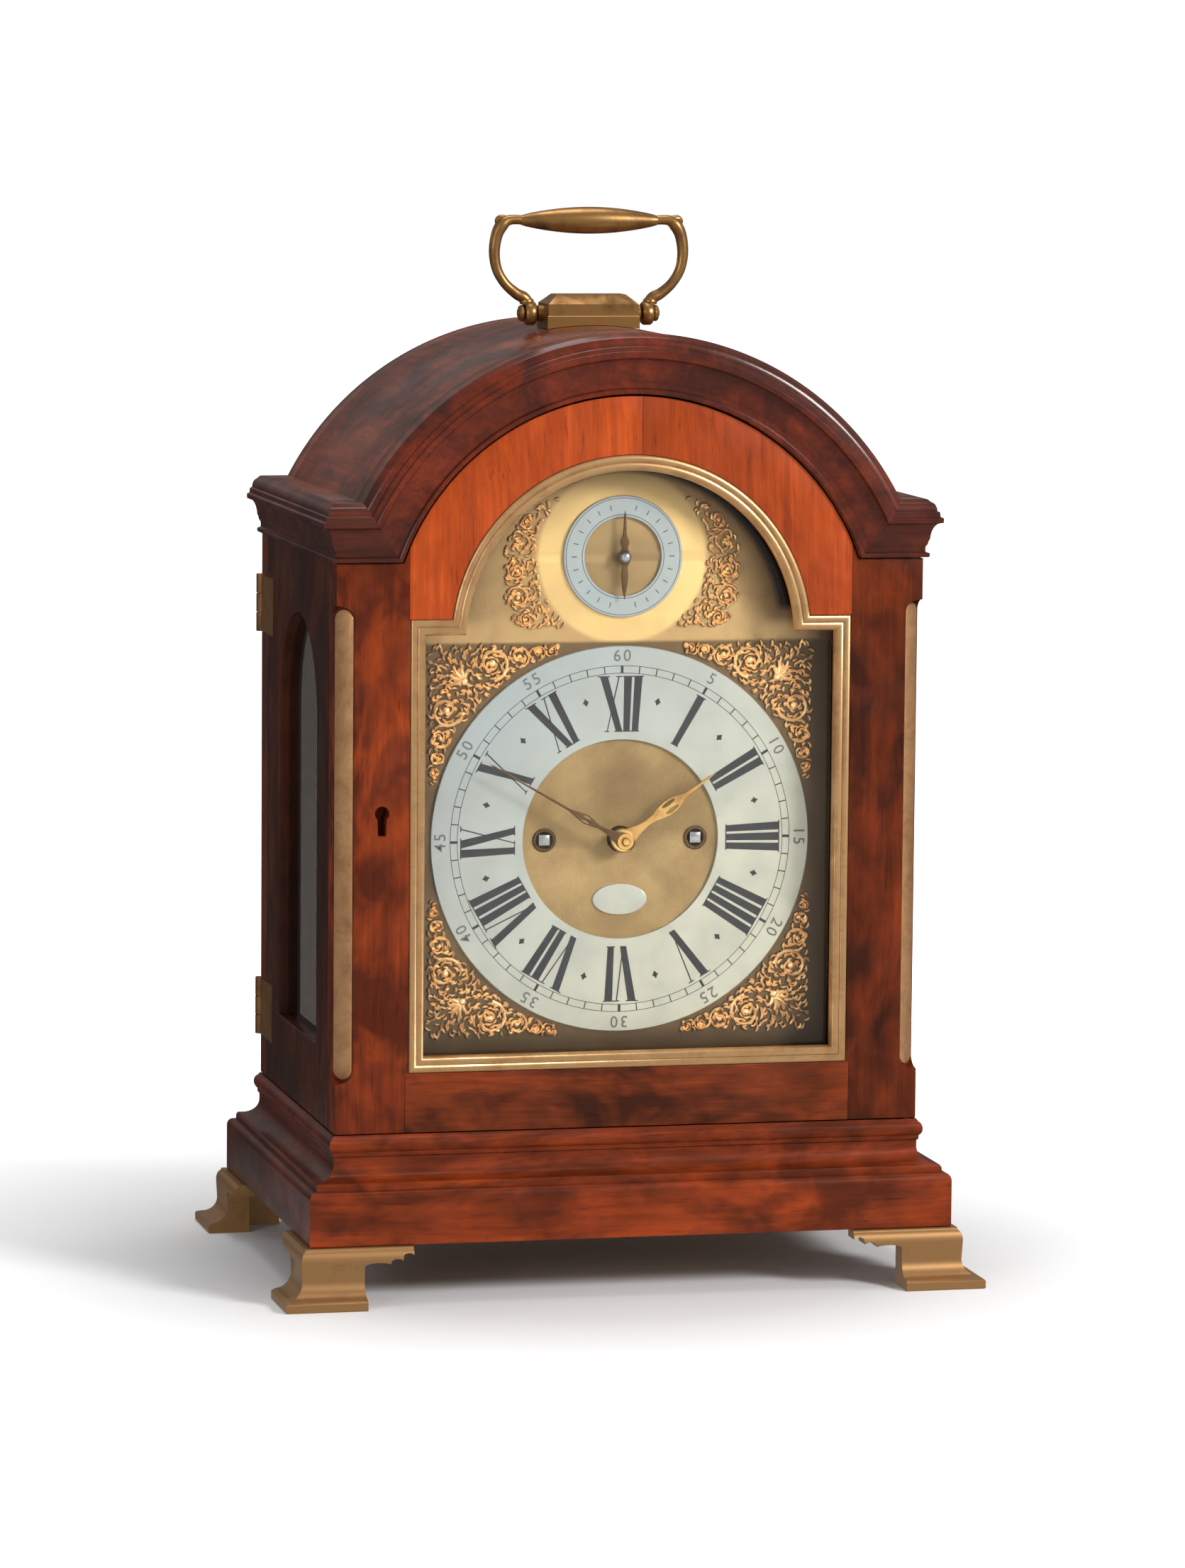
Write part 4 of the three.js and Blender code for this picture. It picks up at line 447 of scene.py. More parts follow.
def dialMetal():
    # matted brass in the centre and plain brass in the arch; painted shade, partly real tarnish, in the
    # corners between the castings, painted shade along the sides, foot and arch frame and above the
    # centre, and a painted shadow of the sight frame
    material, tree, shader = newMaterial("dialBrass")
    place = objectPlace(tree)
    across, _, height = (parts(tree, place)[axis] for axis in "XYZ")
    tones = {name: shade(*tone) for name, tone in dialTones.items()}

    def fade(value, name, most=1.0, base=0.0):
        start, full = (base + number for number in dialEdges[name])
        return between(tree, value, start * mm, full * mm, 0.0, most)

    def distance(centre):
        # in the dial's plane, from a point on its centre line
        return lengthOf(tree, mapped(tree, place, (1, 0, 1), (0, 0, 0), (0, 0, -centre * mm)))
    fromCentre = distance(clock["dialCentre"])
    fromStrike = distance(clock["strikeCentre"])
    fromArch = distance(clock["apertureCentre"])
    inCentre = fade(fromCentre, "centreEdge")
    aged = placeGroup(tree, agedMetal, Vector=place, Bright=tones["plain"], Tarnish=tones["plainDull"],
                      Patches=0.6, Edge=0.5, Polish=0.34)
    matted = noise(tree, place, 2600.0, 2.0, 0.7)
    cloud = noise(tree, place, 55.0, 3.0, 0.6)
    middle = mixColour(tree, between(tree, cloud, 0.36, 0.7), tones["centre"], tones["centreDull"])
    # painted shade in a patch above the centre
    shadePatch = fade(distance(clock["dialCentre"] + dialEdges["shadePatchRise"]), "shadePatchEdge", 0.55)
    middle = mixColour(tree, shadePatch, middle, tones["shadePatch"])
    middle = mixColour(tree, calc(tree, "MULTIPLY", between(tree, matted, 0.35, 0.65), 0.4), middle,
                       tones["matting"])
    tone = mixColour(tree, inCentre, aged["Color"], middle)
    tone = mixColour(tree, fade(fromStrike, "haloEdge", 0.85), tone, tones["halo"])
    tone = mixColour(tree, fade(fromStrike, "strikeEdge"), tone, tones["strikeCentre"])
    # painted shade in the corners between the castings (partly real tarnish), near the arch frame, along
    # the sides and along the foot
    dark = calc(tree, "MULTIPLY", fade(fromCentre, "cornerShade"),
                fade(height, "cornerShadeTop", 1.0, clock["dialCentre"]))
    dulledAndShaded = calc(tree, "MULTIPLY", fade(fromArch, "archFrameShade", 0.5), fade(height, "frameShadeAbove"))
    for mask in (dulledAndShaded, fade(calc(tree, "ABSOLUTE", across), "sideShade", 0.7),
                 fade(height, "footShade", 1.0, clock["dialCentre"])):
        dark = calc(tree, "MAXIMUM", dark, mask)
    tone = mixColour(tree, calc(tree, "MULTIPLY", dark, 0.85), tone, tones["tarnish"])
    shadowed = calc(tree, "MULTIPLY", fade(fromArch, "archShadow"), fade(height, "shadowAbove"))
    feed(tree, shader.inputs["Base Color"], mixColour(tree, shadowed, tone, tones["shadow"]))
    rough = mixColour(tree, inCentre, aged["Roughness"], (0.55, 0.55, 0.55, 1.0))
    feed(tree, shader.inputs["Roughness"], rough)
    shader.inputs["Metallic"].default_value = 0.6
    relief = calc(tree, "MULTIPLY", matted, inCentre)
    feed(tree, shader.inputs["Normal"], bump(tree, relief, 0.00015, 0.6))
    return material


# warmLit and coolShaded are lit and painted-shade copies of the silvering
silverTones = {"warmLit": (196, 193, 172), "coolShaded": (160, 168, 168), "rubbed": (150, 152, 142),
               "grain": (136, 134, 118)}


def silveredMetal():
    # painted shade: darker and cooler towards the upper left of the dial, lit warmer below, with rubbed
    # patches
    material, tree, shader = newMaterial("silvered")
    place = objectPlace(tree)
    across, _, height = (parts(tree, place)[axis] for axis in "XYZ")
    warmLit, coolShaded, rubbed, grain = (shade(*tone) for tone in silverTones.values())
    cloud = noise(tree, place, 46.0, 3.0, 0.6)
    grainy = noise(tree, place, 1900.0, 2.0, 0.6)
    towardsShade = calc(tree, "SUBTRACT", calc(tree, "SUBTRACT", height, clock["dialCentre"] * mm), across)
    tone = mixColour(tree, between(tree, towardsShade, -0.08, 0.11), warmLit, coolShaded)
    tone = mixColour(tree, between(tree, cloud, 0.4, 0.7, 0.0, 0.5), tone, rubbed)
    tone = mixColour(tree, between(tree, grainy, 0.55, 0.75, 0.0, 0.3), tone, grain)
    feed(tree, shader.inputs["Base Color"], tone)
    feed(tree, shader.inputs["Roughness"], between(tree, cloud, 0.3, 0.7, 0.36, 0.5))
    shader.inputs["Metallic"].default_value = 0.3
    feed(tree, shader.inputs["Normal"], bump(tree, grainy, 0.00004, 0.4))
    return material


def wax(name, dark, rubbed):
    material, tree, shader = newMaterial(name)
    worn = noise(tree, objectPlace(tree), 700.0, 3.0, 0.6)
    feed(tree, shader.inputs["Base Color"],
         mixColour(tree, between(tree, worn, 0.5, 0.8, 0.0, 0.5), shade(*dark), shade(*rubbed)))
    feed(tree, shader.inputs["Roughness"], between(tree, worn, 0.3, 0.7, 0.5, 0.7))
    return material


def clearGlass(name, tint):
    # daylight passes to what is behind, and the surface still shines
    material, tree, shader = newMaterial(name)
    faint = noise(tree, objectPlace(tree), 30.0)
    paler = [0.96 * value for value in tint]
    feed(tree, shader.inputs["Base Color"], mixColour(tree, faint, (*tint, 1.0), (*paler, 1.0)))
    feed(tree, shader.inputs["Roughness"], between(tree, faint, 0.3, 0.8, 0.0, 0.004))
    shader.inputs["Transmission Weight"].default_value = 1.0
    shader.inputs["IOR"].default_value = 1.2
    path = tree.nodes.new("ShaderNodeLightPath").outputs
    passing = calc(tree, "MAXIMUM", path["Is Shadow Ray"], path["Is Diffuse Ray"])
    clear = tree.nodes.new("ShaderNodeBsdfTransparent")
    mixShaders(tree, passing, shader.outputs[0], clear.outputs[0])
    return material


spandrelGilt = spandrelMetal()
dialBrass = dialMetal()
silvered = silveredMetal()
engravedWax = wax("engravedWax", (18, 17, 18), (44, 42, 40))
paleWax = wax("paleWax", (98, 98, 94), (128, 128, 120))
# painted shade: the side and rear glass are tinted dark to stand for the shaded inside of the case
glass = clearGlass("glass", (0.97, 0.98, 0.97))
shadeTintedGlass = clearGlass("shadeTintedGlass", (0.26, 0.22, 0.19))
rearShadeTintedGlass = clearGlass("rearShadeTintedGlass", (0.5, 0.52, 0.5))
print("finishes made")


# mesh helpers

def newObject(name, data):
    made = bpy.data.objects.new(name, data)
    bpy.context.scene.collection.objects.link(made)
    return made


def meshOf(holder):
    # the mesh of a curve, a text or a cut piece as it stands
    bpy.context.view_layer.update()
    return bpy.data.meshes.new_from_object(holder.evaluated_get(bpy.context.evaluated_depsgraph_get()))


def smoothed(mesh, sharp=38):
    mesh.polygons.foreach_set("use_smooth", [True] * len(mesh.polygons))
    mesh.set_sharp_from_angle(angle=math.radians(sharp))


def finishMesh(name, mesh, material, body, slotName, replaced=(), sharp=38):
    work = bmesh.new()
    work.from_mesh(mesh)
    bmesh.ops.remove_doubles(work, verts=work.verts, dist=1e-6)
    bmesh.ops.recalc_face_normals(work, faces=work.faces)
    work.to_mesh(mesh)
    work.free()
    smoothed(mesh, sharp)
    piece = newObject(name, mesh)
    mesh.materials.clear()
    mesh.materials.append(material)
    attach(piece, body)
    if replaced:
        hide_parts(*replaced)
    return piece


def solidPiece(name, points, faces, material, body, slotName, replaced=(), sharp=38):
    mesh = bpy.data.meshes.new(name)
    mesh.from_pydata([Vector(p) * mm for p in points], [], faces)
    return finishMesh(name, mesh, material, body, slotName, replaced, sharp)


class Pile:
    # several simple forms that go into one mesh

    def __init__(self):
        self.points = []
        self.faces = []

    def add(self, points, faces):
        start = len(self.points)
        self.points.extend(points)
        self.faces.extend([[start + i for i in face] for face in faces])

    def piece(self, name, material, body, slotName, replaced=(), sharp=38):
        return solidPiece(name, self.points, self.faces, material, body, slotName, replaced, sharp)


def arc(cx, cz, rx, rz, start, end, steps):
    # points on an arc, in degrees
    return [(cx + rx * math.cos(math.radians(start + (end - start) * i / steps)),
             cz + rz * math.sin(math.radians(start + (end - start) * i / steps)))
            for i in range(steps + 1)]


def axisPoint(axis, centre, u, v, along):
    x, y, z = centre
    if axis == "x":
        return (x + along, y + u, z + v)
    if axis == "y":
        return (x + u, y + along, z + v)
    return (x + u, y + v, z + along)


def turnedForm(profile, axis, centre, segments=48):
    # a closed turned form; the profile gives (radius, distance along the axis)
    points, faces, rings = [], [], []
    for radius, along in profile:
        ring = []
        for k in range(segments if radius > 1e-6 else 1):
            a = 2 * math.pi * k / segments
            ring.append(len(points))
            points.append(axisPoint(axis, centre, radius * math.cos(a), radius * math.sin(a), along))
        rings.append(ring)
    for here, there in zip(rings, rings[1:]):
        for k in range(segments):
            n = (k + 1) % segments
            corners = [here[k % len(here)], here[n % len(here)],
                       there[n % len(there)], there[k % len(there)]]
            corners = list(dict.fromkeys(corners))  # a pole's point counts once
            if len(corners) > 2:
                faces.append(corners)
    return points, faces


def gridForm(rows, closed=False):
    # a skin over closed rows of points; closed joins the last row to the first
    count = len(rows[0])
    points = [p for row in rows for p in row]
    faces = []
    for r in range(len(rows) if closed else len(rows) - 1):
        down = (r + 1) % len(rows)
        for c in range(count):
            n = (c + 1) % count
            faces.append([r * count + c, r * count + n, down * count + n, down * count + c])
    return points, faces


def cappedForm(rows):
    # a skin over closed rows of points, with both ends filled
    points, faces = gridForm(rows)
    count = len(rows[0])
    return points, faces + [list(range(count)), list(range(len(points) - count, len(points)))[::-1]]


def blockForm(x0, x1, y0, y1, z0, z1):
    points = [(x, y, z) for x in (x0, x1) for y in (y0, y1) for z in (z0, z1)]
    return points, [[0, 1, 3, 2], [4, 6, 7, 5], [0, 4, 5, 1], [2, 3, 7, 6], [0, 2, 6, 4], [1, 5, 7, 3]]


def cutOut(name, outlines, low, high, facing, material, body, slotName, replaced=(), bevel=0.3):
    # a board or plate of one thickness with rounded edges; the first outline is the edge and
    # the rest are holes. facing is x or y, the way through the board.
    curve = bpy.data.curves.new(name, "CURVE")
    curve.dimensions = "2D"
    curve.fill_mode = "BOTH"
    curve.extrude = max(0.0, (high - low) / 2 - bevel) * mm
    curve.bevel_depth = bevel * mm
    curve.bevel_resolution = 2
    curve.offset = -bevel * mm
    for outline in outlines:
        spline = curve.splines.new("POLY")
        spline.points.add(len(outline) - 1)
        for point, (u, v) in zip(spline.points, outline):
            point.co = (u * mm, v * mm, 0, 1)
        spline.use_cyclic_u = True
    holder = newObject(name + "_outline", curve)
    mesh = meshOf(holder)
    bpy.data.objects.remove(holder)
    bpy.data.curves.remove(curve)
    middle = (low + high) / 2 * mm
    if facing == "y":
        mesh.transform(Matrix(((1, 0, 0, 0), (0, 0, -1, middle), (0, 1, 0, 0), (0, 0, 0, 1))))
    else:
        mesh.transform(Matrix(((0, 0, 1, middle), (1, 0, 0, 0), (0, 1, 0, 0), (0, 0, 0, 1))))
    mesh.name = name
    return finishMesh(name, mesh, material, body, slotName, replaced)


def carve(piece, cutter):
    # takes a form, given as points and faces, out of a finished piece
    points, faces = cutter
    tool = bpy.data.meshes.new("cutter")
    tool.from_pydata([Vector(p) * mm for p in points], [], faces)
    work = bmesh.new()
    work.from_mesh(tool)
    bmesh.ops.recalc_face_normals(work, faces=work.faces)
    work.to_mesh(tool)
    work.free()
    holder = newObject("cutter", tool)
    modifier = piece.modifiers.new("cut", "BOOLEAN")
    modifier.operation = "DIFFERENCE"
    modifier.solver = "EXACT"
    modifier.object = holder
    mesh = meshOf(piece)
    piece.modifiers.clear()
    piece.data = mesh
    bpy.data.objects.remove(holder)
    bpy.data.meshes.remove(tool)
    smoothed(mesh)


def breakArch(half, sill, shoulder, centre, radius):
    spring = math.degrees(math.asin((shoulder - centre) / radius))
    return ([(-half, sill), (half, sill), (half, shoulder)]
            + arc(0, centre, radius, radius, spring, 180 - spring, 72) + [(-half, shoulder)])


# camera, floor and light

view = {
    "azimuth": 13.288, "tilt": 6.571, "roll": 0.493, "distance": 2761.3,
    "target": (3.525, 0.0, 200.237), "focalPixels": 9260.9, "photoHeight": 2212,
    "sensor": 36.0,
}


def addCamera():
    az, tilt, roll = (math.radians(view[key]) for key in ("azimuth", "tilt", "roll"))
    back = Vector((-math.sin(az) * math.cos(tilt), -math.cos(az) * math.cos(tilt), math.sin(tilt)))
    right = Vector((math.cos(az), -math.sin(az), 0))
    up = back.cross(right)
    acrossView = math.cos(roll) * right + math.sin(roll) * up
    upView = -math.sin(roll) * right + math.cos(roll) * up
    data = bpy.data.cameras.new("photoCamera")
    data.sensor_width = view["sensor"]
    data.lens = view["focalPixels"] * view["sensor"] / view["photoHeight"]
    data.clip_end = 50
    camera = newObject("photoCamera", data)
    place = (Vector(view["target"]) + back * view["distance"]) * mm
    basis = Matrix((acrossView, upView, back)).transposed().to_4x4()
    camera.matrix_world = Matrix.Translation(place) @ basis
    bpy.context.scene.camera = camera


studio = {
    # light on dull faces from all round, then what polished faces see in front, low behind and above
    "ambient": 0.34, "seenBefore": 0.36, "seenBehind": 0.04, "seenAbove": 0.3,
    # where the change from front to behind starts and ends, and how high behind is bright again
    "turnFrom": -0.1, "turnTo": 0.35, "riseTo": 0.35,
    "lamps": [
        # name, place, size across, power, aimed at
        ("keySoftbox", (1.6, -1.9, 1.35), 0.7, 58, (0, 0, 0.22)),
        ("fillSoftbox", (-1.9, -1.9, 0.9), 1.0, 11, (0, 0, 0.2)),
        ("topSoftbox", (0.1, 0.2, 2.4), 1.1, 16, (0, 0, 0.2)),
        ("edgeSoftbox", (-1.5, 1.6, 0.8), 0.25, 1.8, (0, 0, 0.15)),
    ],
    "floorColor": 0.9, "whiteFrom": 0.14, "whiteTo": 0.6, "floorReach": 9.0,
}


def reflectedLevel(tree, depth, height):
    # how bright the studio looks in a polished face: pale in front, dim low down behind
    behind = between(tree, height, 0.0, studio["riseTo"], studio["seenBehind"], studio["seenAbove"])
    share = between(tree, depth, studio["turnFrom"], studio["turnTo"])
    kept = calc(tree, "MULTIPLY", calc(tree, "SUBTRACT", 1.0, share), studio["seenBefore"])
    return calc(tree, "ADD", kept, calc(tree, "MULTIPLY", share, behind))


def rayMasks(tree):
    # rays that see the background as plain white, and the glossy rays besides
    path = tree.nodes.new("ShaderNodeLightPath").outputs
    plain = calc(tree, "MAXIMUM", path["Is Camera Ray"], path["Is Transmission Ray"])
    return plain, calc(tree, "MULTIPLY", path["Is Glossy Ray"], calc(tree, "SUBTRACT", 1.0, plain))


def addStudio():
    world = bpy.data.worlds.new("studioWorld")
    bpy.context.scene.world = world
    world.use_nodes = True
    tree = world.node_tree
    ahead = parts(tree, tree.nodes.new("ShaderNodeTexCoord").outputs["Generated"])
    plain, polished = rayMasks(tree)
    level = between(tree, plain, 0.0, 1.0, studio["ambient"], 1.0)
    level = calc(tree, "MULTIPLY", level, calc(tree, "SUBTRACT", 1.0, polished))
    glossy = calc(tree, "MULTIPLY", polished, reflectedLevel(tree, ahead["Y"], ahead["Z"]))
    background = tree.nodes["Background"]
    background.inputs["Color"].default_value = (1, 1, 1, 1)
    feed(tree, background.inputs["Strength"], calc(tree, "ADD", level, glossy))
    for name, place, size, power, target in studio["lamps"]:
        data = bpy.data.lights.new(name, "AREA")
        data.shape = "SQUARE"
        data.size = size
        data.energy = power
        lamp = newObject(name, data)
        lamp.location = place
        lamp.rotation_euler = (Vector(target) - Vector(place)).to_track_quat("-Z", "Y").to_euler()


def floorMaterial():
    # a pale floor that keeps the clock's shadow and fades to the white of the backdrop
    material, tree, shader = newMaterial("paleFloor")
    place = objectPlace(tree)
    level = studio["floorColor"]
    worn = level - 0.01
    feed(tree, shader.inputs["Base Color"],
         mixColour(tree, noise(tree, place, 3.0), (level, level, level, 1), (worn, worn, worn, 1)))
    shader.inputs["Roughness"].default_value = 0.9
    shader.inputs["Specular IOR Level"].default_value = 0.1
    white = between(tree, lengthOf(tree, place), studio["whiteFrom"], studio["whiteTo"])
    plain, polished = rayMasks(tree)
    shader.inputs["Emission Color"].default_value = (1, 1, 1, 1)
    feed(tree, shader.inputs["Emission Strength"], calc(tree, "MULTIPLY", plain, white))
    mirrored = tree.nodes.new("ShaderNodeEmission")
    feed(tree, mirrored.inputs["Strength"], reflectedLevel(tree, parts(tree, place)["Y"], 0.0))
    mixShaders(tree, polished, shader.outputs[0], mirrored.outputs[0])
    return material


def addFloor():
    mesh = bpy.data.meshes.new("studioFloor")
    reach = studio["floorReach"]
    mesh.from_pydata([(-reach, -reach, 0), (reach, -reach, 0), (reach, reach, 0), (-reach, reach, 0)],
                     [], [(0, 1, 2, 3)])
    mesh.materials.append(floorMaterial())
    floor = newObject("studioFloor", mesh)


addCamera()
addFloor()
addStudio()
bpy.context.scene.view_settings.view_transform = "Standard"
print("camera, floor and light set")


# plinth and feet

plinthLook = {"projection": 12.5, "blockHeight": 19.0, "wall": 27.0, "neckDrop": 9.0, "flareDrop": 2.5}


def plinthProfile():
    # (distance out from the case, height)
    edge, wall = plinthLook["projection"], plinthLook["wall"]
    low, top = clock["footTop"], clock["plinthTop"]
    block = low + plinthLook["blockHeight"]
    neck = top - plinthLook["neckDrop"]
    flare = neck - plinthLook["flareDrop"]
    return ([(edge - wall, low), (edge - 0.3, low), (edge, low + 0.3), (edge, block - 0.3)]
            + arc(edge - 2.6, block, 2.6, 3.2, 4, 90, 8)
            + [(edge - 3.4, block + 3.25), (edge - 3.4, block + 5.2), (edge - 3.6, block + 5.4)]
            + arc(edge - 4, flare, 8, flare - block - 6.2, 270, 180, 14)
            + [(0.5, neck), (1.2, neck + 0.6), (1.2, neck + 1)]
            + arc(0.6, top - 4, 2, 3, -70, 75, 10) + [(0.4, top), (edge - wall, top)])


def addPlinth():
    # four mitred lengths, so that the grain follows each side
    profile = plinthProfile()
    halfX, halfY = clock["halfWidth"], clock["rearY"]
    corners = {"front": ((-1, -1), (1, -1)), "right": ((1, -1), (1, 1)),
               "rear": ((1, 1), (-1, 1)), "left": ((-1, 1), (-1, -1))}
    for side, ends in corners.items():
        rows = [[(sx * (halfX + off), sy * (halfY + off), z) for off, z in profile] for sx, sy in ends]
        finish = wood["plinth" if side in ("front", "rear") else "plinthSide"]
        solidPiece("plinth_" + side, *cappedForm(rows), finish, "case", "mahogany", ("plinth",), 30)


footLook = {
    "flare": 11.8, "toe": 3.8, "leg": 22.0, "wing": 42.5, "wall": 6.0, "face": 3.6, "lip": 2.1,
    "seat": 0.2, "legTop": 7.4,  # the legs' inner edge ends this far below the top
    # scallops under the wing: distance from the leg, below the top, half width, height
    "scallops": ((5.8, 7.2, 5.2, 1.1), (13.6, 6.0, 2.5, 1.3), (18.4, 4.0, 2.3, 1.5)),
}


def footProfile(top):
    # (distance out from the plinth, height)
    flare, toe, face, lip, wall = (footLook[key] for key in ("flare", "toe", "face", "lip", "wall"))
    hollowX = flare - 1.4
    swellX = lip - 0.6
    return ([(-wall, top), (-wall, 0), (flare - 0.4, 0), (flare, 0.4), (flare, toe - 0.5),
             (flare - 0.4, toe)]
            + arc(hollowX, toe + 7.6, hollowX - face, 7.0, 266, 180, 16)
            + arc(swellX, top - 5.2, face + 0.4 - swellX, 4.6, 0, 72, 12)
            + [(lip, top - 0.5), (lip, top)])


def addFoot(name, sx, sy):
    look = footLook
    top = clock["footTop"] - look["seat"]
    profile = footProfile(top)
    halfX, halfY = clock["plinthHalfX"], clock["plinthHalfY"]
    reach = look["wing"]
    rows = [[(sx * (halfX - reach), sy * (halfY + off), z) for off, z in profile],
            [(sx * (halfX + off), sy * (halfY + off), z) for off, z in profile],
            [(sx * (halfX + off), sy * (halfY - reach), z) for off, z in profile]]
    foot = solidPiece(name + "_casting", *cappedForm(rows), metalOf["footBrass"], "case", "cast_brass",
                      (name,), 30)
    through = (-look["wall"] - 2, look["flare"] + 1)
    for half, axis in ((halfX, "front"), (halfY, "side")):
        legX = half - look["leg"]
        outline = [(legX, -1), (legX, top - look["legTop"])]
        for along, drop, width, height in look["scallops"]:
            outline += arc(legX - along, top - drop, width, height, 15, 160, 10)
        outline += [(half - reach - 1, top - 2), (half - reach - 1, -1)]
        if axis == "front":
            rows = [[(sx * a, sy * (halfY + y), z) for a, z in outline] for y in through]
        else:
            rows = [[(sx * (halfX + x), sy * a, z) for a, z in outline] for x in through]
        carve(foot, cappedForm(rows))


addPlinth()
for footName, sx, sy in (("foot_front_left", -1, -1), ("foot_front_right", 1, -1),
                         ("foot_rear_left", -1, 1), ("foot_rear_right", 1, 1)):
    addFoot(footName, sx, sy)
print("plinth and feet made")


# mouldings of the top: a level run round the shoulders that mitres into the arch

mouldingLook = {"depth": 24.0, "tip": 6.5, "seat": 0.2, "steps": 120}


def mouldingProfile():
    # (distance in from the outer edge, projection from the case)
    tip, seat, depth = (mouldingLook[key] for key in ("tip", "seat", "depth"))
    face = ([(0, 0.4), (0.2, 1.0)] + arc(5, 1.9, 3.8, 2.4, 172, 92, 8)
            + [(5.1, tip - 1.6), (5.3, tip - 1.3), (7.1, tip - 1.1), (7.3, tip - 0.9), (7.5, tip - 0.2),
               (7.8, tip), (9.4, tip), (9.7, tip - 0.2)]
            + arc(17.2, tip - 0.8, 7.4, 3.7, 184, 264, 12)
            + [(17.5, 1.5), (18.6, 1.3), (18.9, 1.1), (19.6, 0.6), (20.4, 0.5), (21.6, 0.5), (21.9, 0.8),
               (22.2, 1.8), (22.5, 2.0), (23.4, 2.0), (23.9, 1.8), (depth, 1.5)])
    return [(0, seat)] + [(t, p + seat) for t, p in face] + [(depth, seat)]


def archRadius(t):
    # the moulding is a little wider on the arch than on the level
    return clock["archOuter"] - t * clock["archMoulding"] / mouldingLook["depth"]


def mitreX(t):
    # where the level run at this distance meets the arch
    radius = archRadius(t)
    height = clock["shoulderTop"] - t - clock["archCentre"]
    return math.sqrt(radius * radius - height * height)


def addMouldings():
    profile = mouldingProfile()
    frontY, rearY, halfWidth = clock["frontY"], clock["rearY"], clock["halfWidth"]
    centre, top, steps = clock["archCentre"], clock["shoulderTop"], mouldingLook["steps"]
    rows = []
    for k in range(steps + 1):
        row = []
        for t, p in profile:
            start = math.atan2(top - t - centre, mitreX(t))
            a = start + (math.pi - 2 * start) * k / steps
            row.append((archRadius(t) * math.cos(a), frontY - p, centre + archRadius(t) * math.sin(a)))
        rows.append(row)
    solidPiece("arch_moulding_run", *cappedForm(rows), wood["moulding"], "case", "mahogany",
               ("arch_moulding",), 30)
    for side, sx in (("left", -1), ("right", 1)):
        rows = [[(sx * mitreX(t), frontY - p, top - t) for t, p in profile],
                [(sx * (halfWidth + p), frontY - p, top - t) for t, p in profile],
                [(sx * (halfWidth + p), rearY, top - t) for t, p in profile]]
        solidPiece("shoulder_moulding_%s_run" % side, *cappedForm(rows), wood["shoulder"], "case",
                   "mahogany_dark", ("shoulder_moulding_" + side,), 30)


roofLook = {"gap": 0.6, "thickness": 10.0, "bayGap": 0.2, "doorGap": 0.5, "edge": 0.15, "vaultEdge": 0.02}


def roofOutline(radius):
    # the curved top with its level shoulders, hollowed from below to this radius
    halfWidth, centre = clock["halfWidth"], clock["archCentre"]
    top, low = clock["shoulderTop"], clock["shoulderLow"]
    outer = clock["archOuter"] - roofLook["gap"]
    start = math.degrees(math.asin((top - centre) / outer))
    inside = math.degrees(math.asin((low - centre) / radius))
    return ([(halfWidth, low), (halfWidth, top)] + arc(0, centre, outer, outer, start, 180 - start, 96)
            + [(-halfWidth, top), (-halfWidth, low)]
            + arc(0, centre, radius, radius, 180 - inside, inside, 80))


def addRoof():
    look = roofLook
    depth, rearIn = doorBox[1][1] + look["doorGap"], rearBox[0][1] - look["doorGap"]
    bay = clock["archInner"] - look["bayGap"]
    vault = clock["archOuter"] - look["gap"] - look["thickness"]
    for name, radius, low, high, edge in (("roof_front_arch", bay, clock["frontY"], depth, look["edge"]),
                                          ("roof_vault", vault, depth, rearIn, look["vaultEdge"]),
                                          ("roof_rear_arch", bay, rearIn, clock["rearY"], look["edge"])):
        cutOut(name, [roofOutline(radius)], low, high, "y", wood["roof"], "case", "mahogany",
               ("roof",), edge)


addMouldings()
addRoof()
print("mouldings and roof made")


# sides

sideLook = {
    "thick": 12.0, "windowWidth": 84.0, "windowSill": 99.5, "windowTop": 274.0,
    # the rail under the seatboard, from the case's outside and from the seatboard
    "railInner": 22.0, "railOuter": 12.2, "railSetBack": 6.0, "railHeight": 12.0, "railGap": 0.2,
}
mortises = {  # heights above the lowest point of the node that moves in each
    "side_left": {"node": "lock_bolt", "deep": 7.0, "thick": 3.0, "low": -0.3, "high": 12.3},
    "side_right": {"node": "rear_catch", "deep": 4.0, "thick": 2.0, "low": 0.2, "high": 17.0},
}
mortiseSlack = 0.3


def dress(material, *names):
    # a finish for solids that show as they are
    for name in names:
        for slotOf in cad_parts[name].material_slots:
            slotOf.material = material


def windowOutline():
    radius = sideLook["windowWidth"] / 2
    spring = sideLook["windowTop"] - radius
    return ([(-radius, sideLook["windowSill"]), (radius, sideLook["windowSill"])]
            + arc(0, spring, radius, radius, 0, 180, 48))


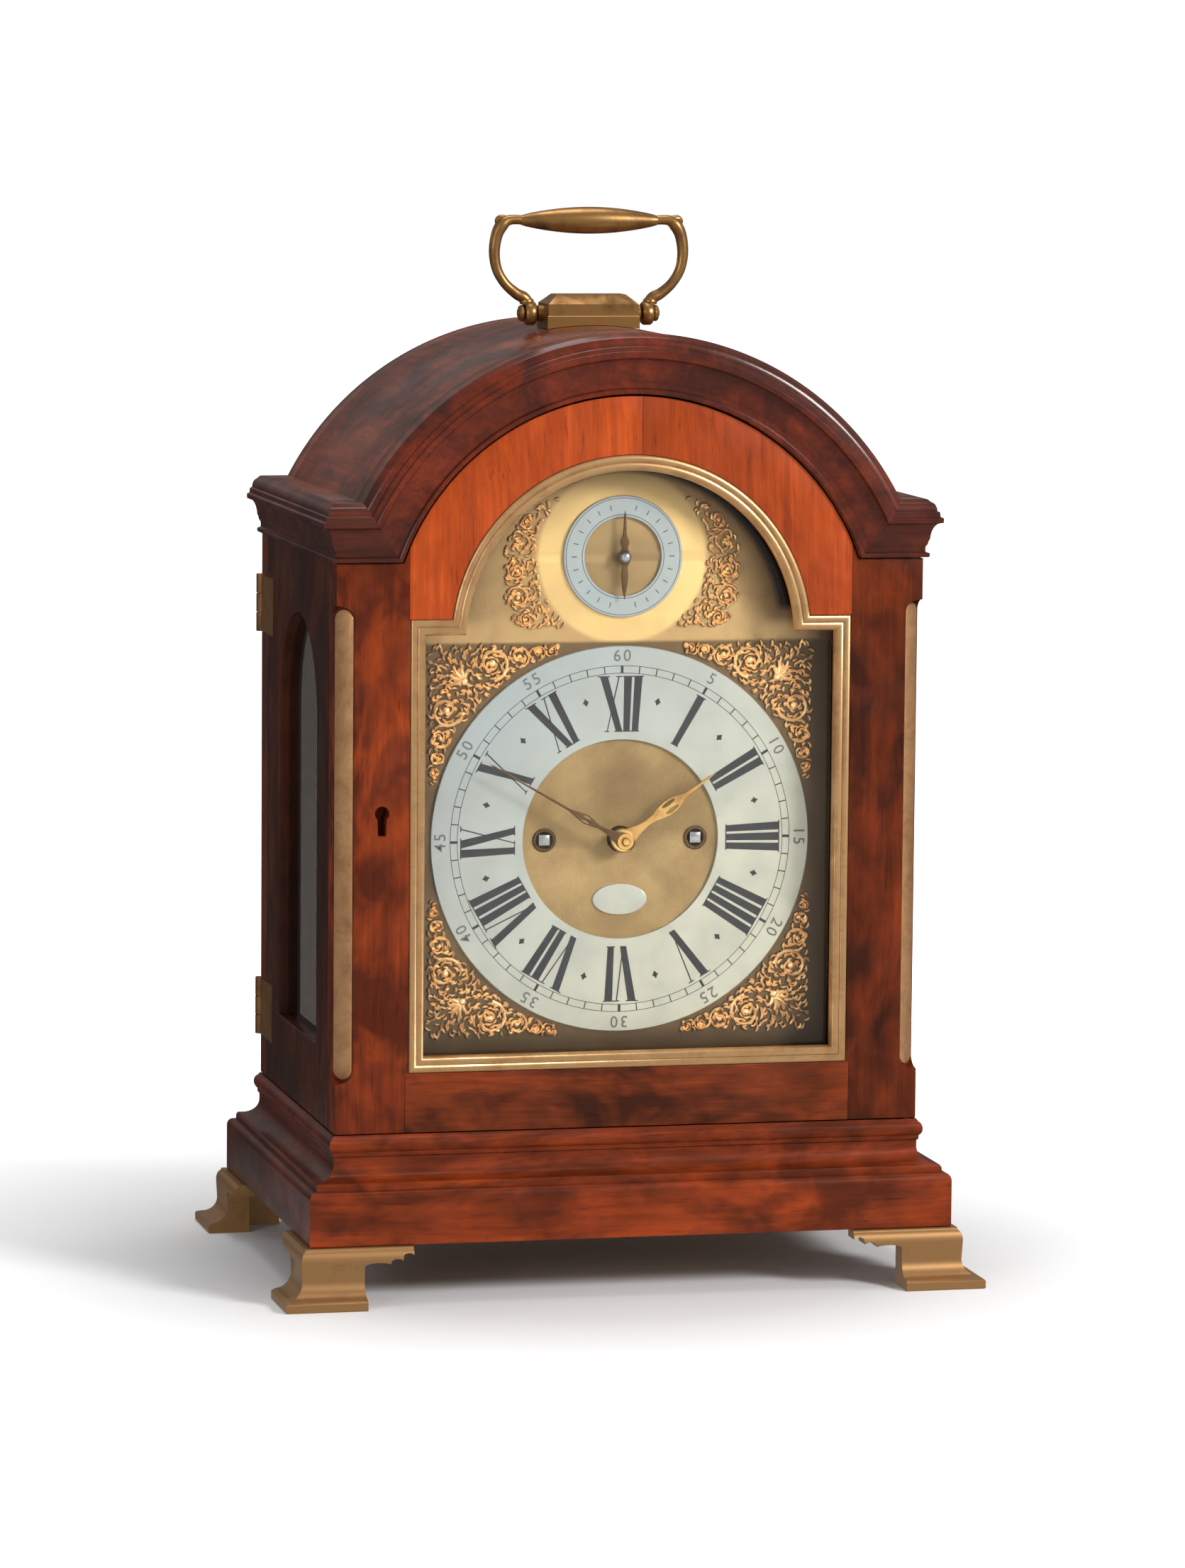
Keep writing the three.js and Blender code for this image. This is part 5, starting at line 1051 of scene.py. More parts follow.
def addSide(name, sx):
    half, look = clock["halfWidth"], sideLook
    outer, inner = sx * half, sx * (half - look["thick"])
    (_, y0, low), (_, y1, high) = sideBox
    panel = cutOut(name + "_board", [[(y0, low), (y1, low), (y1, high), (y0, high)], windowOutline()],
                   min(outer, inner), max(outer, inner), "x", wood["side"], "case", "mahogany_dark",
                   (name,), 0.5)
    mortise = mortises[name]
    _, frontEdge, foot = boxOf(mortise["node"])[0]
    carve(panel, blockForm(*sorted((inner - sx, inner + sx * mortise["deep"])), frontEdge - mortiseSlack,
                           frontEdge + mortise["thick"] + mortiseSlack, foot + mortise["low"],
                           foot + mortise["high"]))
    seat = boxOf("seatboard")
    pile = Pile()
    pile.add(*blockForm(sx * (half - look["railInner"]), sx * (half - look["railOuter"]),
                        seat[0][1] + look["railSetBack"], seat[1][1],
                        seat[0][2] - look["railHeight"], seat[0][2] - look["railGap"]))
    pile.piece(name + "_rail", wood["oak"], "case", "oak")


addSide("side_left", -1)
addSide("side_right", 1)
dress(shadeTintedGlass, "side_glass_left", "side_glass_right")
print("sides made")


# front door

doorLook = {
    "stileEdge": 93.5, "railEdge": 92.5, "apertureHalf": 92.0, "sill": 93.0, "shoulder": 278.0,
    "centre": clock["apertureCentre"], "radius": 75.2, "cantLeg": 7.5, "cantLow": 89.0, "cantHigh": 284.0,
    "stripHalf": 4.5, "stripInset": 1.5, "sightWidth": 6.5, "rebate": 3.5, "crackX": 3.5,
    "joint": 0.06, "seat": 0.2, "topGap": 0.5, "archGap": 1.0,
    "key": (-103.5, 196.5), "keyRadius": 3.0, "keySlot": 1.7, "keyDrop": 6.2, "keyDeep": 12.0,
    # the veneer's crack at the top of the arch, opened by these degrees
    "crackRight": 0.02, "crackLeft": 0.05, "crackLeftIn": 0.06,
}


def onCorner(sx, outline, low, high):
    # a prism on the canted corner, outline in (along the cant, z)
    root = 1 / math.sqrt(2)
    rows = []
    for depth in (low, high):
        reach = depth - doorLook["cantLeg"] * root
        rows.append([(sx * clock["halfWidth"] + sx * root * reach + root * along,
                      clock["frontY"] - root * reach + sx * root * along, z) for along, z in outline])
    return cappedForm(rows)


def roundEnded(half, low, high):
    return arc(0, high - half, half, half, 0, 180, 16) + arc(0, low + half, half, half, 180, 360, 16)


def addStile(side, sx, low, high, radius):
    d = doorLook
    half, frontY, centre = clock["halfWidth"], clock["frontY"], clock["archCentre"]
    inRail, inStile = d["railEdge"] + d["joint"], d["stileEdge"] + d["joint"]
    inSight, sill = d["apertureHalf"] + d["seat"], d["sill"] - d["seat"]
    start = math.degrees(math.asin((high - centre) / radius))
    turnIn = math.degrees(math.acos(inRail / radius))
    outline = ([(half, low), (half, high)] + arc(0, centre, radius, radius, start, turnIn, 4)
               + [(inRail, d["shoulder"]), (inSight, d["shoulder"]), (inSight, sill), (inStile, sill),
                  (inStile, low)])
    stile = cutOut("door_stile_" + side, [[(sx * x, z) for x, z in outline]], frontY, doorBox[1][1], "y",
                   wood["stileLeft" if sx < 0 else "stileRight"], "front_door", "mahogany_bright",
                   ("front_door",), 0.12)
    cant = roundEnded(d["cantLeg"] / math.sqrt(2) + d["seat"], d["cantLow"], d["cantHigh"])
    strip = roundEnded(d["stripHalf"] + d["seat"], d["cantLow"] + d["stripInset"] - d["seat"],
                       d["cantHigh"] - d["stripInset"] + d["seat"])
    carve(stile, onCorner(sx, cant, 0, 8))
    carve(stile, onCorner(sx, strip, -1.4, 2))
    if sx < 0:
        keyX, keyZ = d["key"]
        hole = arc(keyX, keyZ + d["keyRadius"], d["keyRadius"], d["keyRadius"], -50, 230, 24)
        hole += [(keyX - d["keySlot"], keyZ - d["keyDrop"]), (keyX + d["keySlot"], keyZ - d["keyDrop"])]
        rows = [[(x, y, z) for x, z in hole] for y in (frontY - 1, frontY + d["keyDeep"])]
        carve(stile, cappedForm(rows))


def addFrontDoor():
    d = doorLook
    low, high = doorBox[0][2], clock["shoulderLow"] - d["topGap"]
    centre, radius = clock["archCentre"], clock["archInner"] - d["archGap"]
    for side, sx in (("left", -1), ("right", 1)):
        addStile(side, sx, low, high, radius)
    edge, top = d["stileEdge"] - d["joint"], d["sill"] - d["seat"]
    inner, shoulder = d["radius"] + d["seat"], d["shoulder"] + d["seat"]
    railX = d["railEdge"] - d["joint"]
    springIn = math.degrees(math.asin((shoulder - d["centre"]) / inner))
    atCrack = math.degrees(math.acos(d["crackX"] / radius))
    crackIn = math.degrees(math.acos(d["crackX"] / inner))
    turnOut = math.degrees(math.acos(railX / radius))
    right = (arc(0, centre, radius, radius, turnOut, atCrack - d["crackRight"], 40)
             + arc(0, d["centre"], inner, inner, crackIn - d["crackRight"], springIn, 40)
             + [(railX, shoulder)])
    left = (arc(0, centre, radius, radius, atCrack + d["crackLeft"], 180 - turnOut, 40)
            + [(-railX, shoulder)]
            + arc(0, d["centre"], inner, inner, 180 - springIn, crackIn + d["crackLeftIn"], 40))
    rail = [(-edge, low), (edge, low), (edge, top), (-edge, top)]
    for name, outline, finish, soft in (("door_rail_bottom", rail, "bottomRail", 0.12),
                                        ("door_arch_right", right, "archRailRight", 0.08),
                                        ("door_arch_left", left, "archRail", 0.08)):
        cutOut(name, [outline], clock["frontY"], doorBox[1][1], "y", wood[finish], "front_door",
               "mahogany_bright", ("front_door",), soft)


def addSightFrame():
    # brass moulding round the glass: a rounded front, set into the wood
    d, frontY = doorLook, clock["frontY"]
    back, width = frontY + d["rebate"], d["sightWidth"]
    profile = ([(0.05, back), (0.05, frontY)] + arc(1.6, frontY, 1.5, 0.8, 180, 300, 8)
               + [(2.6, frontY - 0.35), (2.9, frontY - 0.2)]
               + arc(4.4, frontY + 0.5, 1.7, 1.1, 200, 330, 8) + [(width, frontY + 1.8), (width, back)])
    rows = [[(x, y, z) for x, z in breakArch(d["apertureHalf"] - inset, d["sill"] + inset,
                                             d["shoulder"] - inset, d["centre"], d["radius"] - inset)]
            for inset, y in profile]
    solidPiece("sight_frame_moulding", *gridForm(rows, True), metalOf["sightBrass"], "front_door",
               "gilt_brass", ("sight_frame",), 42)


def addCornerStrip(side, sx):
    d = doorLook
    low, high = d["cantLow"] + d["stripInset"], d["cantHigh"] - d["stripInset"]
    rows = []
    for inset, depth in ((0, -1.2), (0, 0.0), (0.12, 0.18), (0.35, 0.28)):
        ring = roundEnded(d["stripHalf"] - inset, low + inset, high - inset)
        rows.append(onCorner(sx, ring, depth, depth)[0][:len(ring)])
    solidPiece("corner_strip_%s_brass" % side, *cappedForm(rows), metalOf["stripBrass"], "front_door",
               "cast_brass", ("corner_strip_" + side,), 42)


addFrontDoor()
addSightFrame()
addCornerStrip("left", -1)
addCornerStrip("right", 1)
dress(glass, "door_glass")
print("front door made")


# dial

dialLook = {
    "numeralLow": 44.4, "numeralHigh": 67.4, "thick": 3.0, "thin": 0.5, "serif": 0.02,
    "trackInner": 68.6, "trackOuter": 71.6, "minuteText": 75.6, "minuteSize": 6.8,
    "fiveMark": 0.55, "minuteMark": 0.22, "trackLine": 0.12,
    "halfHour": 58.5, "halfHourSize": 1.7, "halfHourWaist": 0.65, "crossHalf": (1.3, 0.25),
    "proud": 0.05, "step": 0.004,  # the step lifts a stroke over the one that it crosses
    "chapterRing": (41.2, 79.8), "strikeRing": (16.2, 25.0),
    "strikeTracks": (17.2, 24.0), "strikeLine": 0.11, "strikeMark": (19.4, 21.6, 0.16),
    "archRadius": 72.5, "shoulder": 1.5, "plateThick": 2.0, "seat": 0.05,
    "windingX": 31.9, "windingHole": 3.6, "centreHole": 5.4, "strikeHole": 2.0,
    "squareHalf": 2.25, "plaqueDrop": 25.0, "plaqueHalf": (11.4, 6.4),
}
romans = ["XII", "I", "II", "III", "IIII", "V", "VI", "VII", "VIII", "IX", "X", "XI"]
letterWidth = {"I": 4.0, "V": 8.4, "X": 8.6}


def ringPiece(name, size, centre, replaced):
    inner, outer = size
    face, back = clock["ringFace"], clock["dialFace"] - dialLook["seat"]
    profile = [(inner, back), (inner, face + 0.15), (inner + 0.15, face), (outer - 0.3, face),
               (outer, face + 0.3), (outer, back), (inner, back)]
    solidPiece(name, *turnedForm(profile, "y", (0, 0, centre), 160), silvered, "case", "silvered",
               replaced, 35)


def polar(centre, radius, degrees, across=0.0):
    # a point of the dial: clockwise from twelve, with an offset to the right of the ray
    a = math.radians(degrees)
    return (radius * math.sin(a) + across * math.cos(a),
            centre + radius * math.cos(a) - across * math.sin(a))


def flatStroke(pile, corners, lift=0):
    # a thin filled outline that stands just proud of the rings
    face = clock["ringFace"]
    high = face - (dialLook["proud"] + dialLook["step"] * lift)
    pile.add(*cappedForm([[(x, face + 0.02, z) for x, z in corners], [(x, high, z) for x, z in corners]]))


def mark(pile, centre, low, high, degrees, half, lift=0):
    # a short stroke along a ray
    flatStroke(pile, [polar(centre, low, degrees, -half), polar(centre, high, degrees, -half),
                      polar(centre, high, degrees, half), polar(centre, low, degrees, half)], lift)


def flatRing(pile, radius, half, centre, segments):
    face = clock["ringFace"]
    low, high = radius - half, radius + half
    profile = [(low, face + 0.02), (low, face - 0.04), (high, face - 0.04), (high, face + 0.02),
               (low, face + 0.02)]
    pile.add(*turnedForm(profile, "y", (0, 0, centre), segments))


def letterStrokes(letter):
    # strokes as corner lists in (across, share of the height)
    thick, thin = dialLook["thick"] / 2, dialLook["thin"] / 2
    wide = letterWidth[letter] / 2 - 1.4

    def bar(x0, y0, x1, y1, half):
        return [(x0 - half, y0), (x0 + half, y0), (x1 + half, y1), (x1 - half, y1)]

    def foot(x, y, half):
        low, high = (y, y + dialLook["serif"]) if y < 0.5 else (y - dialLook["serif"], y)
        return [(x - half, low), (x + half, low), (x + half, high), (x - half, high)]
    if letter == "I":
        return [bar(0, 0, 0, 1, thick), foot(0, 0, 2.05), foot(0, 1, 2.05)]
    if letter == "V":
        return [bar(0.4, 0, -wide, 1, thick), bar(0.4, 0, wide + 0.3, 1, thin),
                foot(-wide, 1, thick + 0.8), foot(wide + 0.3, 1, 1.1)]
    return [bar(wide, 0, -wide, 1, thick), bar(-wide, 0, wide, 1, thin), foot(-wide, 1, thick + 0.8),
            foot(wide, 1, 1.1), foot(wide, 0, thick + 0.8), foot(-wide, 0, 1.1)]


def addHourNumerals(pile, centre):
    low, high = dialLook["numeralLow"], dialLook["numeralHigh"]
    middle = (low + high) / 2
    for hour, word in enumerate(romans):
        at = -sum(letterWidth[letter] for letter in word) / 2
        for letter in word:
            x0 = at + letterWidth[letter] / 2
            at += letterWidth[letter]
            for k, stroke in enumerate(letterStrokes(letter)):
                corners = []
                for across, share in stroke:
                    radius = low + (high - low) * share
                    spread = 0.45 + 0.55 * radius / middle  # letters narrow towards the centre
                    corners.append(polar(centre, radius, 30 * hour, (x0 + across) * spread))
                flatStroke(pile, corners, k)


def addNumerals():
    look = dialLook
    pile = Pile()
    centre = clock["dialCentre"]
    addHourNumerals(pile, centre)
    radius, size = look["halfHour"], look["halfHourSize"]
    waist = look["halfHourWaist"] * size
    crossWide, crossHigh = look["crossHalf"]
    for hour in range(12):
        mid = 30 * hour + 15
        flatStroke(pile, [polar(centre, radius + size, mid), polar(centre, radius, mid, waist),
                          polar(centre, radius - size, mid), polar(centre, radius, mid, -waist)])
        mark(pile, centre, radius + crossHigh, radius - crossHigh, mid, crossWide, 1)
    for minute in range(60):
        half = look["minuteMark"] if minute % 5 else look["fiveMark"]
        mark(pile, centre, look["trackInner"], look["trackOuter"], 6 * minute, half)
    for radius in (look["trackInner"], look["trackOuter"]):
        flatRing(pile, radius, look["trackLine"], centre, 160)
    pile.piece("chapter_numerals", engravedWax, "case", "silvered", (), 30)


def addMinuteNumbers():
    # plain numbers at every fifth minute, feet to the middle
    joined = bmesh.new()
    upright = Matrix(((1, 0, 0, 0), (0, 0, -1, 0), (0, 1, 0, 0), (0, 0, 0, 1)))
    for k in range(12):
        text = bpy.data.curves.new("minuteText", "FONT")
        text.body = str(5 * k or 60)
        text.size = dialLook["minuteSize"] * mm
        text.align_x = "CENTER"
        text.align_y = "CENTER"
        text.extrude = 0.035 * mm
        text.offset = 0.05 * mm
        text.space_character = 1.25
        text.resolution_u = 3
        holder = newObject("minuteText", text)
        mesh = meshOf(holder)
        bpy.data.objects.remove(holder)
        bpy.data.curves.remove(text)
        x, z = polar(clock["dialCentre"], dialLook["minuteText"], 30 * k)
        turn = Matrix.Rotation(math.radians(30 * k), 4, "Y")
        mesh.transform(Matrix.Translation(Vector((x, clock["ringFace"], z)) * mm) @ turn @ upright)
        joined.from_mesh(mesh)
        bpy.data.meshes.remove(mesh)
    whole = bpy.data.meshes.new("minute_numbers")
    joined.to_mesh(whole)
    joined.free()
    finishMesh("minute_numbers", whole, paleWax, "case", "silvered", (), 30)


def addStrikeLines(strike):
    pile = Pile()
    for radius in dialLook["strikeTracks"]:
        flatRing(pile, radius, dialLook["strikeLine"], strike, 96)
    low, high, half = dialLook["strikeMark"]
    for k in range(24):
        if k % 12:
            mark(pile, strike, high, low, 15 * k, half)
    pile.piece("strike_ring_lines", engravedWax, "case", "silvered", (), 30)


def addWinding(side, sx, rider, centre):
    # the collet in the dial and a steel sleeve on the arbor's square
    face, x = clock["dialFace"], sx * dialLook["windingX"]
    profile = [(3.55, face - 0.05), (3.55, face - 0.5), (3.8, face - 0.7), (4.6, face - 0.7),
               (4.9, face - 0.4), (4.9, face - 0.05), (3.55, face - 0.05)]
    solidPiece("winding_collet_" + side, *turnedForm(profile, "y", (x, 0, centre), 48),
               metalOf["darkBrass"], "case", "dial_brass")
    wide = dialLook["squareHalf"]
    rows = [[(x + half * i, y, centre + half * k) for i, k in ((-1, -1), (1, -1), (1, 1), (-1, 1))]
            for half, y in ((wide, face + 1.5), (wide, face - 0.5), (wide - 0.35, face - 0.75))]
    solidPiece("winding_square_" + side, *cappedForm(rows), metalOf["steel"], rider, "steel")


def addDial():
    look, face = dialLook, clock["dialFace"]
    centre, strike = clock["dialCentre"], clock["strikeCentre"]
    half = plateBox[1][0]
    outline = breakArch(half, centre - half, centre + half + look["shoulder"], doorLook["centre"],
                        look["archRadius"])
    holes = [arc(sx * look["windingX"], centre, look["windingHole"], look["windingHole"], 0, 350, 35)
             for sx in (-1, 1)]
    holes += [arc(0, centre, look["centreHole"], look["centreHole"], 0, 350, 35),
              arc(0, strike, look["strikeHole"], look["strikeHole"], 0, 345, 23)]
    cutOut("dial_plate_brass", [outline] + holes, face, plateBox[0][1] + look["plateThick"], "y",
           dialBrass, "case", "dial_brass", ("dial_plate",), 0.1)
    ringPiece("chapter_ring_silver", look["chapterRing"], centre, ("chapter_ring",))
    ringPiece("strike_ring_silver", look["strikeRing"], strike, ("strike_ring",))
    addStrikeLines(strike)
    addWinding("left", -1, "strike_fusee", centre)
    addWinding("right", 1, "going_fusee", centre)
    wide, high = look["plaqueHalf"]
    middle = centre - look["plaqueDrop"]
    rows = []
    for size, y in ((1.0, face - 0.05), (1.0, face - 0.6), (0.985, face - 0.75), (0.93, face - 0.8)):
        rows.append([(x, y, z) for x, z in arc(0, middle, wide * size, high * size, 0, 356, 89)])
    solidPiece("dial_plaque_silver", *cappedForm(rows), silvered, "case", "silvered",
               ("dial_plaque",), 42)
    addNumerals()
    addMinuteNumbers()


addDial()
print("dial made")


# gilt castings in the corners and the arch

castingLook = {
    "base": clock["dialFace"] - 0.05, "cell": 2.05, "leafLength": (2.0, 3.2), "leafWidth": (0.58, 0.86),
    # corners: reach, edge by the ring, where foliage starts, and volutes as (degrees, share of the gap)
    "edge": 81.5, "inner": 80.9, "low": 24.0, "startX": 57.0,
    "volutes": ((36.5, 0.36), (29.5, 0.38), (24.3, 0.4), (20.4, 0.42)),
    "fanAt": 66.5, "fanLeaf": 7.4, "fanTurn": 34, "fanWidth": 1.2, "fanBead": (66, 1.7),
    # arch: band round the strike ring, its ends, and volutes as (x, z, radius, degrees)
    "archInner": 35.4, "archWidth": 16.4, "archHalfSpan": 50.2, "archBase": -30.0, "archTip": 43.0,
    "archStartX": 18.0, "archEnd": (52.0, 32.0),
    "archVolutes": ((40.5, -25.5, 3.4, -60), (43.8, -16.5, 4.6, -20), (44.2, -5.5, 4.6, -10),
                    (42.6, 5.5, 3.9, 10), (39.8, 14.8, 2.9, 30)),
}


def ribbon(pile, path, widths, rises):
    # a leaf or stem on the dial: a domed ribbon along a path
    section = ((-1.0, 0.0), (-0.6, 0.75), (0.0, 1.0), (0.6, 0.75), (1.0, 0.0))
    rows = []
    for k, (x, z) in enumerate(path):
        ahead = path[min(k + 1, len(path) - 1)]
        behind = path[max(k - 1, 0)]
        dx, dz = ahead[0] - behind[0], ahead[1] - behind[1]
        size = math.hypot(dx, dz) or 1.0
        nx, nz = -dz / size, dx / size
        rows.append([(x + nx * widths[k] * s, castingLook["base"] - rises[k] * h, z + nz * widths[k] * s)
                     for s, h in section])
    pile.add(*cappedForm(rows))


def scroll(pile, cx, cz, radius, start, direction, flip):
    # a volute that runs inwards to a bead
    path = []
    for k in range(17):
        t = k / 16
        a = math.radians(start) + direction * 2.5 * math.pi * t
        reach = radius * (1 - 0.8 * t)
        path.append(flip((cx + reach * math.cos(a), cz + reach * math.sin(a))))
    widths = [radius * (0.14 - 0.05 * k / 16) for k in range(17)]
    rises = [1.25 + 0.35 * math.sin(math.pi * k / 16) for k in range(17)]
    ribbon(pile, path, widths, rises)
    dome(pile, cx, cz, radius * 0.22, 0.3, flip)


def leaf(pile, x, z, heading, length, width, flip, lift):
    path, widths, rises = [], [], []
    for k in range(5):
        t = k / 4
        bend = heading + 0.8 * t
        reach = length * (t - 0.5)
        path.append(flip((x + reach * math.cos(bend), z + reach * math.sin(bend))))
        widths.append(width * (0.3 + 0.8 * math.sin(math.pi * (0.12 + 0.84 * t))))
        rises.append(0.75 + lift + 0.6 * math.sin(math.pi * (0.2 + 0.7 * t)))
    ribbon(pile, path, widths, rises)


def dome(pile, x, z, radius, lift, flip):
    x, z = flip((x, z))
    base = castingLook["base"] - lift
    profile = [(radius, base), (radius * 0.9, base - 0.7), (radius * 0.5, base - 1.2), (0, base - 1.4)]
    pile.add(*turnedForm(profile, "y", (x, 0, z), 10))


def foliage(pile, inside, span, volutes, draws, flip):
    # small leaves over a region, a jittered row at a time, that circle the nearest volute
    cell = castingLook["cell"]
    low, high = span
    u = low[0]
    while u < high[0]:
        v = low[1]
        while v < high[1]:
            x, z = u + draws.uniform(-0.5, 0.5) * cell, v + draws.uniform(-0.5, 0.5) * cell
            if inside(x, z):
                near = min(volutes, key=lambda c: math.hypot(x - c[0], z - c[1]))
                circling = math.atan2(z - near[1], x - near[0]) + 1.3
                leaf(pile, x, z, circling + draws.uniform(-0.8, 0.8),
                     draws.uniform(*castingLook["leafLength"]), draws.uniform(*castingLook["leafWidth"]),
                     flip, draws.uniform(-0.25, 0.3))
            v += cell
        u += cell


def addSpandrel(name, sx, sz):
    # running scrolls either side of a fan of leaves in the corner, mirrored on the diagonal
    look, centre = castingLook, clock["dialCentre"]
    edge, inner = look["edge"], look["inner"]
    pile = Pile()
    draws = random.Random(7)
    volutes = []
    for degrees, share in look["volutes"]:
        a = math.radians(degrees)
        far = edge / math.cos(a)
        middle = (far + inner) / 2
        volutes.append((middle * math.cos(a), middle * math.sin(a), (far - inner) * share, degrees))

    def inside(u, v):
        return math.hypot(u, v) > inner + 0.9 and u < edge - 1.0 and look["low"] < v <= u

    def plain(point):
        return (sx * point[0], centre + sz * point[1])

    def swapped(point):
        return plain((point[1], point[0]))
    for flip in (plain, swapped):
        for u, v, radius, degrees in volutes:
            scroll(pile, u, v, radius, degrees + 150, 1, flip)
        foliage(pile, inside, ((look["startX"], look["low"]), (edge, edge)), volutes, draws, flip)
    for k in range(-2, 3):
        heading = math.radians(45 + k * look["fanTurn"])
        reach = look["fanLeaf"] - abs(k) * 0.9
        u = look["fanAt"] + reach / 2 * math.cos(heading)
        v = look["fanAt"] + reach / 2 * math.sin(heading)
        leaf(pile, u, v, heading - 0.35, reach, look["fanWidth"], plain, 0.2)
    at, size = look["fanBead"]
    dome(pile, at, at, size, 0.5, plain)
    pile.piece(name + "_casting", spandrelGilt, "case", "gilt_brass", (name,), 50)


def addArchSpandrel(name, sx):
    look, centre = castingLook, clock["strikeCentre"]
    pile = Pile()
    draws = random.Random(11)

    def flip(point):
        return (sx * point[0], centre + point[1])

    def inside(x, z):
        degrees = math.degrees(math.atan2(z, x))
        grown = math.sin(math.pi / 2 * max(0.0, min(1.0, (look["archTip"] + 1 - degrees) / 60)))
        return (look["archInner"] + 0.7 < math.hypot(x, z) < look["archInner"] + look["archWidth"] * grown
                and x < look["archHalfSpan"] - 0.8 and z > look["archBase"] + 0.8)
    for k, (x, z, radius, degrees) in enumerate(look["archVolutes"]):
        scroll(pile, x, z, radius, degrees + 90, 1 if k % 2 else -1, flip)
    foliage(pile, inside, ((look["archStartX"], look["archBase"]), look["archEnd"]), look["archVolutes"],
            draws, flip)
    pile.piece(name + "_casting", spandrelGilt, "case", "gilt_brass", (name,), 50)


for name, sx, sz in (("spandrel_upper_left", -1, 1), ("spandrel_upper_right", 1, 1),
                     ("spandrel_lower_left", -1, -1), ("spandrel_lower_right", 1, -1)):
    addSpandrel(name, sx, sz)
addArchSpandrel("arch_spandrel_left", -1)
addArchSpandrel("arch_spandrel_right", 1)
print("castings made")


# handle

handleLook = {
    "axis": 398.0, "grip": 38.6, "gripHalf": 29.0, "gripRadius": 5.8, "neck": 2.0, "outer": 40.3,
    "eye": 25.0, "eyeRadius": 5.0, "eyeWidth": 4.6, "eyeHole": 2.3,
    "padHalfX": 19.2, "padHalfY": 10.0, "padTop": 8.0, "chamfer": 4.5, "chamferDrop": 3.6, "flange": 0.45,
    "flangeTop": 397.3, "seat": 0.2,
}


def tube(path, radii, sides=20):
    # a round bar of changing thickness, closed at both ends
    rows = []
    normal = Vector((0, 1, 0))
    for k, here in enumerate(path):
        ahead = Vector(path[min(k + 1, len(path) - 1)])
        behind = Vector(path[max(k - 1, 0)])
        along = (ahead - behind).normalized()
        side = along.cross(normal).normalized()
        rows.append([tuple(Vector(here) + radii[k] * (math.cos(a) * normal + math.sin(a) * side))
                     for a in [2 * math.pi * i / sides for i in range(sides)]])
    return cappedForm(rows)


def smoothPath(knots, steps):
    # a smooth line through knots of any dimension
    out = []
    last = len(knots) - 1
    for i in range(last):
        p0, p1, p2, p3 = (knots[max(i - 1, 0)], knots[i], knots[i + 1], knots[min(i + 2, last)])
        for k in range(steps):
            t = k / steps
            out.append(tuple(0.5 * (2 * b + (c - a) * t + (2 * a - 5 * b + 4 * c - d) * t * t
                                    + (3 * b - a - 3 * c + d) * t ** 3)
                             for a, b, c, d in zip(p0, p1, p2, p3)))
    out.append(tuple(knots[last]))
    return out


def addGrip(pile):
    h = handleLook
    half, neck = h["gripHalf"], h["neck"]
    profile = [(0, -half - 0.3), (neck, -half)]
    for k in range(1, 28):
        swell = (h["gripRadius"] - neck - 0.2) * math.sin(math.pi * k / 28) ** 0.8
        profile.append((neck + swell, -half + 2 * half * k / 28))
    profile += [(neck, half), (0, half + 0.3)]
    pile.add(*turnedForm(profile, "x", (0, 0, h["axis"] + h["grip"]), 40))


def addArm(pile, sx):
    # from the grip's end round and down to the eye, as (x, height over the axis, radius)
    h = handleLook
    outer, grip, eye = h["outer"], h["grip"], h["eye"]
    arm = [(h["gripHalf"] - 1.5, grip, 1.9), (outer - 6.6, grip + 0.1, 2.1),
           (outer - 3.2, grip - 2.0, 2.7), (outer - 0.9, grip - 6.5, 2.5), (outer, grip - 13.5, 2.3),
           (outer - 1.2, grip - 20.5, 2.15), (outer - 4.6, grip - 26.2, 2.1),
           (outer - 9.4, grip - 30.4, 2.3), (eye + 2.6, 6.4, 2.5), (eye + 0.3, 3.6, 2.3)]
    curl = [(outer - 5.4, grip - 0.4, 1.7), (outer - 3.4, grip + 0.7, 1.6),
            (outer - 1.8, grip + 0.6, 1.3), (outer - 0.9, grip - 0.6, 0.9),
            (outer - 1.2, grip - 1.8, 0.5)]
    for knots, steps, sides in ((arm, 6, 20), (curl, 5, 14)):
        line = smoothPath(knots, steps)
        pile.add(*tube([(sx * x, 0, h["axis"] + z) for x, z, _ in line], [r for _, _, r in line], sides))
    wide, radius, hole = h["eyeWidth"] / 2, h["eyeRadius"], h["eyeHole"]
    ring = [(hole, -wide + 0.4), (hole + 0.4, -wide), (radius - 0.7, -wide), (radius, -wide + 0.8),
            (radius, wide - 0.8), (radius - 0.7, wide), (hole + 0.4, wide), (hole, wide - 0.4),
            (hole, -wide + 0.4)]
    pile.add(*turnedForm(ring, "x", (sx * eye, 0, h["axis"]), 36))
    collar = [(0, -1.6), (2.7, -1.6), (3.0, -0.9), (3.0, 0.0), (2.6, 0.7), (0, 0.9)]
    pile.add(*turnedForm(collar, "z", (sx * (eye + 1.4), 0, h["axis"] + 5.3), 24))


def addHandle():
    pile = Pile()
    addGrip(pile)
    for sx in (-1, 1):
        addArm(pile, sx)
    pile.piece("handle_casting", metalOf["castBrass"], "handle", "cast_brass", ("handle",), 45)


